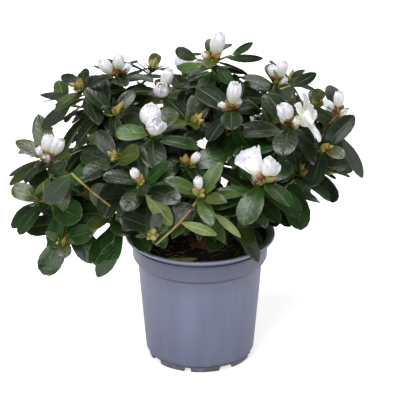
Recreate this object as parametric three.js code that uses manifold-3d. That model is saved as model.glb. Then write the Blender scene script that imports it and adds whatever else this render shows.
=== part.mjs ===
// Potted white azalea: a nursery pot full of peat, a short stem, arching boughs and one mass of
// foliage at the end of each bough. Millimetres, +Z up, the front is -Y.
// The origin is on the ground at the middle of the whole plant's box.
import * as THREE from 'three';
import { mergeVertices } from 'three/addons/utils/BufferGeometryUtils.js';
import Module from 'manifold-3d';

const wasm = await Module();
wasm.setup();

// ---------------------------------------------------------------- driving sizes
const POT_AXIS_X = 12;
const GAP = 0.3;

const RIM_RADIUS = 65;
const RIM_TOP = 115.5;
const RIM_EDGE = 112;
const BEAD_Z = 107;
const COLLAR_TOP_RADIUS = 59.3;
const COLLAR_FOOT_RADIUS = 58.2;
const COLLAR_FOOT = 92.8;
const BODY_TOP_RADIUS = 54.3;
const BODY_FOOT_RADIUS = 47;
const FOOT_HEIGHT = 6.3;
const FOOT_RADIUS = 44.3;
const FOOT_WALL = 3;
const FOOT_COUNT = 8;
const FIRST_NOTCH = -14;
const NARROW_NOTCH = 6;
const WIDE_NOTCH = 15;
const POT_WALL = 1.5;
const BASE_PLATE = 2;
const DRAIN_RADIUS = 4;
const DRAIN_CIRCLE = 33;
const POT_SIDES = 32;

const SOIL_TOP = 105;
const SOIL_EDGE_DROP = 2;

const STEM_FOOT_RADIUS = 11;
const STEM_RADIUS = 7.6;
const STEM_TOP_RADIUS = 5.6;
const STEM_HEIGHT = 34;
const STEM_SIDES = 12;

const RING_COUNTS = [8, 9, 9];
const RING_HEIGHTS = [29, 20, 11];
const BOUGH_RADIUS = 2.1;
const BOUGH_TIP_RADIUS = 1.6;
const BOUGH_START_RUN = 13;
const BOUGH_SHARES = [0, 0.04, 0.22, 0.55, 1];
const TWIG_SHARES = [0, 0.4, 0.75, 1];
const FORK_STATION = 1;
const FORK_DEPTH = 31;
const FORK_SPACING = 3.3;
const TWIG_RADIUS = 1.5;
const SIDE_TWIG_RADIUS = 1.3;
const SHOOT_RADIUS = 1.1;
const MASS_STEM = 46;

const WHORL_DEPTH = 22;
const GOLDEN_TURN = 137.5;
const YOUNG_RISE = 50;
const LEANING_DROOP = -12;
const UPRIGHT_DROOP = 32;
const LEAF_THICKNESS = 0.7;
const LEAF_SINK = 0.3;
const LEAF_TRIES = 9;
const LEAD_LEAVES = 10;
const SIDE_LEAVES = 6;
const SIDE_REACH = 36;
const SIDE_DROP = 17;
const WHORL_SPACING = 31;
const CLEARANCE = 0.5;
const WHORL_CLEARANCE = 0.1;

const REACH_LOW = [-171, -140, 88];
const REACH_HIGH = [145, 140, 302];
const CROWN_HEART = [0, 0, 120];
const LIGHT_LEAN = -0.3;
const LIGHT_REACH = [30, 75];

// One row for each bough: where its lead shoot ends, its leaf length, how slender the leaves are,
// how many side shoots it tries, the turn of its first leaf, and its blossom as
// [kind, lean to the right, lean up, length].
const BOUGHS = [
  { name: 'left_tip', x: -101, y: 5, z: 246, leaf: 40, slim: 0.38, sides: 2, turn: 170, blooms: [] },
  { name: 'left_crest', x: -71, y: 30, z: 248, leaf: 42, slim: 0.48, sides: 2, turn: 300,
    blooms: [['tip', -12, 4, 24], ['tip', 2, 16, 22], ['tip', 13, 6, 17]] },
  { name: 'mid_crest', x: -33, y: 15, z: 240, leaf: 36, slim: 0.48, sides: 2, turn: 20,
    blooms: [['cup', 0, -2, 20], ['tip', 6, 13, 24]] },
  { name: 'front_left_high', x: -41, y: -42, z: 226, leaf: 44, slim: 0.5, sides: 2, turn: 330,
    blooms: [['cup', -1, 22, 26], ['cup', 1, 1, 23], ['tip', 12, -1, 17]] },
  { name: 'front_left', x: -71, y: -58, z: 208, leaf: 44, slim: 0.46, sides: 1, turn: 130, blooms: [] },
  { name: 'left', x: -131, y: -15, z: 190, leaf: 48, slim: 0.36, sides: 2, turn: 176,
    blooms: [['tip', 10, 8, 26], ['tip', 2, 20, 24], ['tip', -10, 8, 14], ['tip', 0, -6, 15]] },
  { name: 'front_left_mid', x: -49, y: -87, z: 198, leaf: 41, slim: 0.44, sides: 1, turn: 284,
    blooms: [['tip', -8, 11, 17]] },
  { name: 'front', x: 0, y: -82, z: 186, leaf: 41, slim: 0.34, sides: 0, turn: 310,
    blooms: [['tip', -2, 14, 18]] },
  { name: 'middle', x: -12, y: -52, z: 200, leaf: 45, slim: 0.5, sides: 1, turn: 60,
    blooms: [['tip', 12, 4, 17]] },
  { name: 'top', x: 11, y: 20, z: 266, leaf: 37, slim: 0.42, sides: 2, turn: 190,
    blooms: [['tip', 5, 16, 29], ['tip', -12, 4, 13]] },
  { name: 'right_crest', x: 65, y: 20, z: 246, leaf: 39, slim: 0.48, sides: 2, turn: 10,
    blooms: [['tip', -4, 13, 18], ['tip', 7, 14, 23], ['tip', 8, -3, 13]] },
  { name: 'mid_high', x: 26, y: -20, z: 238, leaf: 43, slim: 0.5, sides: 2, turn: 20,
    blooms: [['tip', 2, 10, 28], ['tip', -9, 0, 13], ['tip', 15, 9, 13]] },
  { name: 'right_high', x: 78, y: -38, z: 233, leaf: 43, slim: 0.5, sides: 2, turn: 250,
    blooms: [['cup', -6, 7, 22], ['open', 16, 3, 27], ['tip', 3, -10, 15], ['tip', -13, -3, 13]] },
  { name: 'right_tip', x: 118, y: 5, z: 224, leaf: 46, slim: 0.4, sides: 1, turn: 300,
    blooms: [['tip', 1, 16, 22], ['tip', -7, 3, 18], ['tip', 3, -2, 13]] },
  { name: 'front_right', x: 54, y: -76, z: 197, leaf: 41, slim: 0.52, sides: 0, turn: 180,
    blooms: [['cup', -17, 15, 28], ['cup', 3, 9, 23], ['tip', 13, 8, 20], ['tip', -10, -3, 13]] },
  { name: 'right_low', x: 84, y: -28, z: 180, leaf: 41, slim: 0.5, sides: 0, turn: 330, blooms: [] },
  { name: 'left_low', x: -133, y: -26, z: 156, leaf: 46, slim: 0.48, sides: 2, turn: 176, blooms: [] },
  { name: 'front_left_low', x: -76, y: -50, z: 154, leaf: 46, slim: 0.5, sides: 2, turn: 246, blooms: [] },
  { name: 'front_low', x: 28, y: -44, z: 152, leaf: 42, slim: 0.42, sides: 0, turn: 300, blooms: [] },
  { name: 'back_left_high', x: -84, y: 76, z: 203, leaf: 42, slim: 0.5, sides: 2, turn: 60,
    blooms: [['cup', 0, 12, 25], ['tip', -9, 6, 20]] },
  { name: 'back_high', x: -8, y: 76, z: 226, leaf: 42, slim: 0.5, sides: 2, turn: 100,
    blooms: [['cup', -6, 10, 25], ['tip', 8, 8, 20]] },
  { name: 'back_right_high', x: 72, y: 78, z: 203, leaf: 42, slim: 0.5, sides: 2, turn: 40,
    blooms: [['tip', 5, 10, 22]] },
  { name: 'back_left_low', x: -108, y: 60, z: 152, leaf: 44, slim: 0.5, sides: 3, turn: 150, blooms: [] },
  { name: 'back_low', x: -38, y: 93, z: 162, leaf: 43, slim: 0.5, sides: 2, turn: 80,
    blooms: [['tip', -3, 10, 20]] },
  { name: 'back_right_low', x: 42, y: 97, z: 160, leaf: 43, slim: 0.5, sides: 2, turn: 110,
    blooms: [['cup', 0, 12, 24]] },
  { name: 'right_back', x: 92, y: 48, z: 188, leaf: 42, slim: 0.5, sides: 2, turn: 0, blooms: [] },
];

const COLOURS = {
  pot: 0x7b7f95, soil: 0x1c1510, wood: 0x7a4526, leaves: 0x2f4530,
};

// ---------------------------------------------------------------- small helpers
const UP = new THREE.Vector3(0, 0, 1);
const DEGREES = Math.PI / 180;

const vec = (x, y, z) => new THREE.Vector3(x, y, z);
const mix = (a, b, share) => a + (b - a) * share;

/** The same numbers between 0 and 1 for the same seed. */
function seeded(seed) {
  let state = seed >>> 0;
  return () => {
    state = (state + 0x6d2b79f5) >>> 0;
    let bits = Math.imul(state ^ (state >>> 15), state | 1);
    bits = (bits + Math.imul(bits ^ (bits >>> 7), bits | 61)) ^ bits;
    return ((bits ^ (bits >>> 14)) >>> 0) / 4294967296;
  };
}

/** Two directions square to an axis, the first as level as it can be. */
function acrossAxis(axis) {
  const level = Math.abs(axis.z) > 0.999 ? vec(1, 0, 0) : UP.clone().cross(axis).normalize();
  return [level, axis.clone().cross(level)];
}

function around(axis, degrees) {
  const [u, v] = acrossAxis(axis);
  return u.multiplyScalar(Math.cos(degrees * DEGREES)).addScaledVector(v, Math.sin(degrees * DEGREES));
}

/** A geometry whose shared corners are merged, ready to be joined or cut. */
function toSolid(geometry) {
  const bare = geometry.clone();
  bare.deleteAttribute('normal');
  bare.deleteAttribute('uv');
  const merged = mergeVertices(bare, 1e-4);
  return new wasm.Manifold(new wasm.Mesh({
    numProp: 3,
    vertProperties: new Float32Array(merged.attributes.position.array),
    triVerts: new Uint32Array(merged.index.array),
  }));
}

function toGeometry(solid) {
  const mesh = solid.getMesh();
  const geometry = new THREE.BufferGeometry();
  geometry.setAttribute('position', new THREE.BufferAttribute(mesh.vertProperties, 3));
  geometry.setIndex(new THREE.BufferAttribute(mesh.triVerts, 1));
  geometry.computeVertexNormals();
  return geometry;
}

/** The largest body of a union: loose scraps go and sealed hollows are filled. */
function wholeBody(solid) {
  return solid.decompose().reduce((best, body) => (body.volume() > best.volume() ? body : best));
}

/** Move every corner of a geometry by a rule. */
function reshape(geometry, rule) {
  const position = geometry.attributes.position;
  const corner = new THREE.Vector3();
  for (let i = 0; i < position.count; i += 1) {
    rule(corner.fromBufferAttribute(position, i));
    position.setXYZ(i, corner.x, corner.y, corner.z);
  }
  return geometry;
}

// ---------------------------------------------------------------- pot and soil
function lathe(points) {
  const profile = points.map(([radius, z]) => new THREE.Vector2(radius, z));
  return new THREE.LatheGeometry(profile, POT_SIDES).rotateX(Math.PI / 2);
}

/** The inside radius of the pot at a height. */
function innerRadius(z) {
  const share = (z - FOOT_HEIGHT) / (COLLAR_FOOT - FOOT_HEIGHT);
  return mix(BODY_FOOT_RADIUS, BODY_TOP_RADIUS, share) - POT_WALL;
}

function potShell() {
  return toSolid(lathe([
    [0, FOOT_HEIGHT - BASE_PLATE],
    [FOOT_RADIUS - FOOT_WALL, FOOT_HEIGHT - BASE_PLATE],
    [FOOT_RADIUS - FOOT_WALL, 0],
    [FOOT_RADIUS, 0],
    [FOOT_RADIUS + 0.3, FOOT_HEIGHT - 0.6],
    [BODY_FOOT_RADIUS - 1, FOOT_HEIGHT],
    [BODY_FOOT_RADIUS, FOOT_HEIGHT + 1.6],
    [BODY_TOP_RADIUS, COLLAR_FOOT - 0.8],
    [COLLAR_FOOT_RADIUS - 0.6, COLLAR_FOOT],
    [COLLAR_FOOT_RADIUS, COLLAR_FOOT + 0.8],
    [COLLAR_TOP_RADIUS - 0.1, BEAD_Z - 0.8],
    [COLLAR_TOP_RADIUS + 0.9, BEAD_Z],
    [COLLAR_TOP_RADIUS, BEAD_Z + 0.8],
    [COLLAR_TOP_RADIUS, RIM_EDGE],
    [RIM_RADIUS - 0.5, RIM_EDGE],
    [RIM_RADIUS, RIM_EDGE + 0.6],
    [RIM_RADIUS, RIM_TOP - 1],
    [RIM_RADIUS - 1, RIM_TOP],
    [RIM_RADIUS - 4.5, RIM_TOP],
    [COLLAR_TOP_RADIUS - POT_WALL, RIM_TOP - 2.5],
    [COLLAR_FOOT_RADIUS - POT_WALL, COLLAR_FOOT + 3],
    [BODY_TOP_RADIUS - POT_WALL, COLLAR_FOOT],
    [innerRadius(FOOT_HEIGHT) - 0.6, FOOT_HEIGHT],
    [0, FOOT_HEIGHT],
  ]));
}

/** A block that cuts one gap in the foot ring, with slanted ends. */
function footNotch(bearing, degrees) {
  const half = FOOT_RADIUS * Math.tan((degrees / 2) * DEGREES);
  const outline = new THREE.Shape([
    new THREE.Vector2(-half - 1.2, -1),
    new THREE.Vector2(half + 1.2, -1),
    new THREE.Vector2(half, FOOT_HEIGHT - BASE_PLATE - 0.4),
    new THREE.Vector2(-half, FOOT_HEIGHT - BASE_PLATE - 0.4),
  ]);
  const block = new THREE.ExtrudeGeometry(outline, { depth: FOOT_WALL + 6, bevelEnabled: false });
  block.rotateX(Math.PI / 2);
  block.translate(0, -(FOOT_RADIUS - FOOT_WALL - 3), 0);
  return toSolid(block.rotateZ(bearing * DEGREES));
}

function buildPot() {
  let pot = potShell();
  for (let foot = 0; foot < FOOT_COUNT; foot += 1) {
    const bearing = FIRST_NOTCH + foot * (360 / FOOT_COUNT);
    pot = pot.subtract(footNotch(bearing, foot % 2 ? WIDE_NOTCH : NARROW_NOTCH));
    const drain = new THREE.CylinderGeometry(DRAIN_RADIUS, DRAIN_RADIUS, 10, 12);
    drain.rotateX(Math.PI / 2).translate(DRAIN_CIRCLE, 0, FOOT_HEIGHT);
    pot = pot.subtract(toSolid(drain.rotateZ((bearing + 22.5) * DEGREES)));
  }
  return toGeometry(pot);
}

function buildSoil() {
  const foot = FOOT_HEIGHT + GAP;
  const ledge = COLLAR_FOOT + GAP;
  return lathe([
    [0, foot],
    [innerRadius(foot) - 0.9 - GAP, foot],
    [BODY_TOP_RADIUS - POT_WALL - GAP, ledge],
    [COLLAR_FOOT_RADIUS - POT_WALL - 2 * GAP, ledge + 4],
    [COLLAR_FOOT_RADIUS - POT_WALL - GAP, SOIL_TOP - SOIL_EDGE_DROP],
    [COLLAR_FOOT_RADIUS - 12, SOIL_TOP],
    [0, SOIL_TOP],
  ]);
}

// ---------------------------------------------------------------- convex pieces and their clearance
/** A convex piece: its corners, the directions it may be clear along, its edges and a ball round it. */
function convex(points, normals, edges) {
  const centre = points.reduce((sum, p) => sum.add(p), vec(0, 0, 0)).divideScalar(points.length);
  const radius = Math.max(...points.map((p) => p.distanceTo(centre)));
  return { points, normals, edges, centre, radius };
}

/** How far apart two pieces are along a direction. */
function apartAlong(a, b, axis) {
  const spans = [a, b].map((piece) => {
    const along = piece.points.map((p) => p.dot(axis));
    return [Math.min(...along), Math.max(...along)];
  });
  return Math.max(spans[1][0] - spans[0][1], spans[0][0] - spans[1][1]);
}

/** True where some direction shows that two pieces are clear of each other. */
function areClear(a, b, gap) {
  const between = b.centre.clone().sub(a.centre);
  if (between.length() > a.radius + b.radius + gap) return true;
  if (apartAlong(a, b, between.normalize()) > gap) return true;
  if ([...a.normals, ...b.normals].some((axis) => apartAlong(a, b, axis) > gap)) return true;
  return a.edges.some((edgeA) => b.edges.some((edgeB) => {
    const axis = edgeA.clone().cross(edgeB);
    if (axis.lengthSq() < 1e-4) return false;
    return apartAlong(a, b, axis.normalize()) > gap;
  }));
}

function tubePieces({ points, radii }) {
  return points.slice(1).map((end, i) => {
    const start = points[i];
    const along = end.clone().sub(start).normalize();
    const [u, v] = acrossAxis(along);
    const corners = [];
    for (const [point, radius] of [[start, radii[i]], [end, radii[i + 1]]]) {
      for (const [su, sv] of [[1, 1], [1, -1], [-1, 1], [-1, -1]]) {
        corners.push(point.clone().addScaledVector(u, su * radius).addScaledVector(v, sv * radius));
      }
    }
    return convex(corners, [along, u, v], [along]);
  });
}

function potPiece() {
  const corners = [];
  const normals = [UP.clone()];
  for (let side = 0; side < 24; side += 1) {
    const turn = side * 15 * DEGREES;
    const out = vec(Math.cos(turn), Math.sin(turn), 0);
    corners.push(out.clone().multiplyScalar(RIM_RADIUS).setZ(RIM_TOP));
    corners.push(out.clone().multiplyScalar(BODY_FOOT_RADIUS).setZ(0));
    normals.push(out);
  }
  return convex(corners, normals, []);
}

// ---------------------------------------------------------------- stem and boughs
/** Stations along a curve: the place, direction and radius at each share of the stretch. */
function stations(curve, from, to, shares, startRadius, endRadius) {
  const length = curve.getLength();
  const places = shares.map((share) => mix(from, to, share) / length);
  return {
    points: places.map((place) => curve.getPointAt(place)),
    tangents: places.map((place) => curve.getTangentAt(place)),
    radii: shares.map((share) => mix(startRadius, endRadius, share)),
  };
}

/** A tapering limb through its stations: a capped cylinder bent along them without twist. */
function limbGeometry({ points, tangents, radii }, sides) {
  const steps = points.length - 1;
  const levels = [acrossAxis(tangents[0])[0]];
  for (let step = 1; step <= steps; step += 1) {
    const level = levels[step - 1].clone();
    levels.push(level.addScaledVector(tangents[step], -level.dot(tangents[step])).normalize());
  }
  return reshape(new THREE.CylinderGeometry(1, 1, 1, sides, steps), (corner) => {
    const step = Math.round((corner.y + 0.5) * steps);
    const across = levels[step].clone().cross(tangents[step]);
    const { x, z } = corner;
    corner.copy(points[step]).addScaledVector(levels[step], x * radii[step]);
    corner.addScaledVector(across, z * radii[step]);
  });
}

function stemRadius(height) {
  const flare = Math.max(0, 1 - height / 10);
  const plain = mix(STEM_RADIUS, STEM_TOP_RADIUS, height / STEM_HEIGHT);
  return mix(plain, STEM_FOOT_RADIUS, flare * flare);
}

function buildStem() {
  const heights = [0, 2, 4.5, 8, 12, 18, 25, STEM_HEIGHT - 1.5];
  const profile = heights.map((height) => new THREE.Vector2(stemRadius(height), height));
  profile.unshift(new THREE.Vector2(0, 0));
  profile.push(new THREE.Vector2(STEM_TOP_RADIUS - 1.5, STEM_HEIGHT), new THREE.Vector2(0, STEM_HEIGHT));
  const stem = new THREE.LatheGeometry(profile, STEM_SIDES).rotateX(Math.PI / 2);
  return stem.translate(0, 0, SOIL_TOP + GAP);
}

/** Share the boughs among rings on the stem, steepest highest, in order round each ring. */
function seatBoughs(rows) {
  const bearing = (row) => Math.atan2(row.y, row.x) / DEGREES;
  const slope = (row) => (row.z - CROWN_HEART[2]) / Math.hypot(row.x, row.y);
  const bySlope = [...rows].sort((a, b) => slope(b) - slope(a));
  RING_COUNTS.forEach((count, ring) => {
    const members = bySlope.splice(0, count).sort((a, b) => bearing(a) - bearing(b));
    const spread = 360 / count;
    const offset = members.reduce((sum, row, i) => sum + bearing(row) - i * spread, 0) / count;
    members.forEach((row, i) => {
      row.seatTurn = offset + i * spread;
      row.seatHeight = RING_HEIGHTS[ring];
    });
  });
}

/** The way a shoot points: outwards and up, and in front of the middle also towards the light. */
function shootAxis(tip) {
  const axis = tip.clone().sub(vec(...CROWN_HEART)).normalize().multiplyScalar(0.75);
  axis.addScaledVector(UP, 0.45);
  axis.y += LIGHT_LEAN * (1 - THREE.MathUtils.smoothstep(tip.y, ...LIGHT_REACH));
  return axis.normalize();
}

function boughCurve(row) {
  const turn = row.seatTurn * DEGREES;
  const out = vec(Math.cos(turn), Math.sin(turn), 0);
  const start = out.clone().multiplyScalar(stemRadius(row.seatHeight) + GAP);
  start.z = SOIL_TOP + GAP + row.seatHeight;
  const reach = row.tip.clone().sub(start).length();
  return new THREE.CubicBezierCurve3(
    start,
    start.clone().addScaledVector(out, BOUGH_START_RUN),
    row.tip.clone().addScaledVector(row.axis, -0.38 * reach),
    row.tip.clone(),
  );
}

// ---------------------------------------------------------------- leaves, blossom and shoots
/** Where a point of a leaf lies: along from root to tip, side from edge to edge, lift off its face. */
function leafPoint(leaf, along, side, lift) {
  const width = leaf.width * 0.5 * side;
  const arch = leaf.length * (0.12 * along - 0.2 * along * along);
  return leaf.root.clone()
    .addScaledVector(leaf.along, leaf.length * along ** 0.85)
    .addScaledVector(leaf.across, width)
    .addScaledVector(leaf.face, arch + lift + 0.1 * Math.abs(width));
}

/** A leaf of 8 faces: a four-cornered outline with a raised middle above and below. */
function leafGeometry(leaf) {
  return reshape(new THREE.SphereGeometry(1, 4, 2), (corner) => {
    const along = Math.abs(corner.y) > 0.5 ? 0.45 : (1 - corner.x) / 2;
    const side = Math.abs(corner.y) > 0.5 ? 0 : corner.z;
    corner.copy(leafPoint(leaf, along, side, corner.y * LEAF_THICKNESS / 2));
  });
}

/** The convex piece round a leaf, or round the part of it beyond its narrow root. */
function leafPiece(leaf, from = 0) {
  const outline = [[from, 0], [0.5, 1], [1, 0], [0.5, -1]];
  const corners = outline.map(([along, side]) => leafPoint(leaf, along, side, 0));
  const edges = corners.map((corner, i) => corners[(i + 1) % 4].clone().sub(corner).normalize());
  const normals = edges.map((edge) => edge.clone().cross(leaf.face).normalize());
  corners.push(leafPoint(leaf, 0.45, 0, LEAF_THICKNESS / 2));
  corners.push(leafPoint(leaf, 0.45, 0, -LEAF_THICKNESS / 2));
  return convex(corners, [leaf.face, ...normals], edges);
}

/** The place on a twig at a distance back from its tip. */
function backAlong(points, distance) {
  let left = distance;
  for (let i = points.length - 1; i > 0; i -= 1) {
    const step = points[i].distanceTo(points[i - 1]);
    if (left <= step) return points[i].clone().lerp(points[i - 1], left / step);
    left -= step;
  }
  return points[0].clone();
}

/** One leaf of a whorl: old leaves low, long and spreading, young ones short and upright. */
function makeLeaf(whorl, index, retry) {
  const [turnDraw, liftDraw, sizeDraw, twistDraw] = whorl.draws[index];
  const age = 1 - index / (whorl.leafCount - 1);
  const swing = [0, 14, -14, 0, 24, -24, 12, -12, 0][retry];
  const tilt = [0, 4, 4, -16, -8, -8, -28, 20, 34][retry];
  const turn = whorl.turn + index * GOLDEN_TURN + (turnDraw - 0.5) * 22 + swing;
  const upright = THREE.MathUtils.smoothstep(whorl.axis.z, 0.65, 0.95);
  const droop = mix(LEANING_DROOP, UPRIGHT_DROOP, upright);
  const rise = (mix(YOUNG_RISE, -droop, age ** 0.6) + (liftDraw - 0.5) * 20 + tilt) * DEGREES;
  const along = around(whorl.axis, turn).multiplyScalar(Math.cos(rise));
  along.addScaledVector(whorl.axis, Math.sin(rise)).addScaledVector(UP, -0.1 * age).normalize();
  const sky = whorl.axis.clone().multiplyScalar(0.65).addScaledVector(UP, 0.35);
  sky.applyAxisAngle(along, (twistDraw - 0.5) * 0.7);
  const across = sky.clone().cross(along).normalize();
  const face = along.clone().cross(across);
  const length = whorl.leafLength * mix(0.55, 1, age ** 0.5) * mix(0.88, 1.1, sizeDraw);
  const root = backAlong(whorl.twig.points, 1 + WHORL_DEPTH * age * age);
  root.addScaledVector(along, -LEAF_SINK);
  return { root, along, across, face, length, width: length * whorl.slim * 1.22, age };
}

function bloomFrame(whorl, [, leanRight, leanUp, length]) {
  const toward = whorl.centre.y < 40 ? -3 : 6;
  const axis = vec(leanRight, toward, leanUp).normalize();
  return { root: whorl.centre.clone().addScaledVector(axis, -1.2), axis, length };
}

/** Half the width of each kind of blossom, as a share of its length. */
const BLOOM_GIRTH = { tip: 0.25, cup: 0.34, open: 0.2 };

/** A bud: an egg on its stalk, with its foot sunk into the shoot. */
function budGeometry(frame, girth) {
  const [u, v] = acrossAxis(frame.axis);
  return reshape(new THREE.SphereGeometry(1, 5, 3), (corner) => {
    const along = (1 - corner.y) / 2;
    const swell = 0.75 + 0.5 * Math.sin(along * 2.4);
    const { x, z } = corner;
    corner.copy(frame.root).addScaledVector(frame.axis, frame.length * along * 1.06);
    corner.addScaledVector(u, x * swell * frame.length * girth);
    corner.addScaledVector(v, z * swell * frame.length * girth);
  });
}

function budPiece(frame, girth) {
  const [u, v] = acrossAxis(frame.axis);
  const corners = [frame.root, frame.root.clone().addScaledVector(frame.axis, frame.length * 1.06)];
  for (const share of [0.25, 0.8]) {
    for (let side = 0; side < 6; side += 1) {
      const corner = frame.root.clone().addScaledVector(frame.axis, frame.length * share);
      corner.addScaledVector(u, Math.cos(side * 60 * DEGREES) * frame.length * girth * 1.1);
      corners.push(corner.addScaledVector(v, Math.sin(side * 60 * DEGREES) * frame.length * girth * 1.1));
    }
  }
  return convex(corners, [frame.axis, u, v], [frame.axis]);
}

/** The petals of an open flower, as short broad leaves round a small cup. */
function petals(frame) {
  return [0, 1, 2, 3, 4, 5].map((index) => {
    const across = around(frame.axis, index * 60).multiplyScalar(0.85);
    const along = across.addScaledVector(frame.axis, 0.55).normalize();
    const side = frame.axis.clone().cross(along).normalize();
    return {
      root: frame.root.clone().addScaledVector(frame.axis, 3),
      along,
      across: side,
      face: along.clone().cross(side),
      length: frame.length,
      width: frame.length * 0.72,
    };
  });
}

// ---------------------------------------------------------------- the plant's plan
function withinReach(points) {
  return points.every((p) => ['x', 'y', 'z'].every((letter, i) => (
    p[letter] > REACH_LOW[i] && p[letter] < REACH_HIGH[i]
  )));
}

function planBoughs() {
  BOUGHS.forEach((row) => {
    row.tip = vec(row.x, row.y, row.z);
    row.axis = shootAxis(row.tip);
  });
  seatBoughs(BOUGHS);
  return BOUGHS.map((row) => {
    const curve = boughCurve(row);
    const length = curve.getLength();
    const entry = length - MASS_STEM;
    const bough = stations(curve, 0, entry - GAP, BOUGH_SHARES, BOUGH_RADIUS, BOUGH_TIP_RADIUS);
    const stem = stations(curve, entry, length, TWIG_SHARES, TWIG_RADIUS, SHOOT_RADIUS);
    return {
      row,
      bough,
      stem,
      limbPieces: tubePieces(bough),
      twigPieces: tubePieces(stem),
      twigs: [],
      whorls: [],
      leaves: [],
      blooms: [],
    };
  });
}

function makeWhorl(mass, twig, axis, leafCount, leafLength, seed) {
  const centre = twig.points.at(-1);
  const draw = seeded(seed);
  const draws = Array.from({ length: leafCount }, () => [draw(), draw(), draw(), draw()]);
  const turn = mass.whorls.length ? draw() * 360 : mass.row.turn;
  return { twig, centre, axis, leafCount, leafLength, slim: mass.row.slim, turn, draws };
}

/** Side shoots round each lead shoot, where there is room for another whorl. */
function growSides(masses) {
  const pot = potPiece();
  masses.forEach((mass, index) => {
    const { row } = mass;
    mass.whorls.push(makeWhorl(mass, mass.stem, row.axis, LEAD_LEAVES, row.leaf, 100 * index));
  });
  masses.forEach((mass, index) => {
    const { row } = mass;
    const draw = seeded(5000 + index);
    for (let side = 0; side < row.sides * 5; side += 1) {
      const turn = draw() * 360;
      const stretch = mix(0.9, 1.15, draw());
      if (mass.whorls.length > row.sides) continue;
      const out = around(row.axis, turn);
      const centre = row.tip.clone().addScaledVector(out, SIDE_REACH * stretch);
      centre.addScaledVector(row.axis, -SIDE_DROP);
      const axis = row.axis.clone().multiplyScalar(0.6).addScaledVector(out, 0.7);
      axis.addScaledVector(UP, 0.3).normalize();
      const fork = backAlong(mass.stem.points, FORK_DEPTH - FORK_SPACING * mass.twigs.length);
      const curve = new THREE.CubicBezierCurve3(
        fork,
        fork.clone().addScaledVector(mass.stem.tangents[FORK_STATION], 12),
        centre.clone().addScaledVector(axis, -14),
        centre,
      );
      const twig = stations(curve, 0, curve.getLength(), TWIG_SHARES, SIDE_TWIG_RADIUS, SHOOT_RADIUS);
      const pieces = tubePieces(twig);
      const crowded = masses.some((other) => other.whorls.some((whorl) => (
        whorl.centre.distanceTo(centre) < WHORL_SPACING
      )));
      const blocked = masses.some((other) => (
        pieces.some((piece) => other.limbPieces.some((limb) => !areClear(piece, limb, CLEARANCE)))
        || (other !== mass && pieces.some((piece) => (
          other.twigPieces.some((limb) => !areClear(piece, limb, CLEARANCE))
        )))
      ));
      const room = vec(28, 28, 24);
      if (crowded || blocked) continue;
      if (!pieces.every((piece) => areClear(piece, pot, 2))) continue;
      if (!withinReach([centre.clone().add(room), centre.clone().sub(room)])) continue;
      mass.twigs.push(twig);
      mass.twigPieces.push(...pieces);
      const seed = 100 * index + mass.whorls.length;
      mass.whorls.push(makeWhorl(mass, twig, axis, SIDE_LEAVES, row.leaf * 0.94, seed));
    }
  });
}

function growBlooms(masses) {
  for (const mass of masses) {
    const lead = mass.whorls[0];
    for (const bloom of mass.row.blooms) {
      const frame = bloomFrame(lead, bloom);
      const kind = bloom[0];
      mass.blooms.push({ kind, frame, piece: budPiece(frame, BLOOM_GIRTH[kind]) });
      if (kind === 'open') {
        petals(frame).forEach((petal) => {
          mass.blooms.push({ kind, petal, piece: leafPiece(petal) });
        });
      }
    }
  }
}

/** Every whorl takes its leaves in turn, and a leaf with no free place is left out. */
function growLeaves(masses) {
  const pot = potPiece();
  const stemEnds = [vec(0, 0, SOIL_TOP), vec(0, 0, SOIL_TOP + STEM_HEIGHT)];
  const stem = tubePieces({ points: stemEnds, radii: [STEM_RADIUS, STEM_RADIUS] });
  for (let index = 0; index < LEAD_LEAVES; index += 1) {
    for (const mass of masses) {
      for (const whorl of mass.whorls) {
        if (index >= whorl.leafCount) continue;
        for (let retry = 0; retry < LEAF_TRIES; retry += 1) {
          const leaf = makeLeaf(whorl, index, retry);
          const piece = leafPiece(leaf);
          const blade = leafPiece(leaf, 0.18);
          if (!withinReach(piece.points)) continue;
          if (![pot, ...stem].every((other) => areClear(piece, other, CLEARANCE))) continue;
          const clear = masses.every((other) => (
            other.limbPieces.every((limb) => areClear(piece, limb, CLEARANCE))
            && other.blooms.every((bloom) => areClear(blade, bloom.piece, CLEARANCE))
            && (other === mass || (
              other.twigPieces.every((twig) => areClear(piece, twig, CLEARANCE))
            ))
            && other.leaves.every((done) => (
              done.whorl === whorl
                ? areClear(blade, done.blade, WHORL_CLEARANCE)
                : areClear(piece, done.piece, CLEARANCE)
            ))
          ));
          if (!clear) continue;
          mass.leaves.push({ whorl, leaf, piece, blade });
          break;
        }
      }
    }
  }
}

// ---------------------------------------------------------------- the scene graph
function buildMass(mass) {
  const solids = [mass.stem, ...mass.twigs].map((twig) => toSolid(limbGeometry(twig, 3)));
  mass.blooms.forEach(({ kind, frame, petal }) => {
    const geometry = petal ? leafGeometry(petal) : budGeometry(frame, BLOOM_GIRTH[kind]);
    solids.push(toSolid(geometry));
  });
  mass.leaves.forEach(({ leaf }) => solids.push(toSolid(leafGeometry(leaf))));
  return toGeometry(wholeBody(wasm.Manifold.union(solids).simplify(0.02)));
}

function addMesh(group, name, geometry, colour, roughness) {
  const material = new THREE.MeshStandardMaterial({ color: colour, roughness, metalness: 0 });
  const mesh = new THREE.Mesh(geometry, material);
  mesh.name = name;
  group.add(mesh);
}

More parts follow.
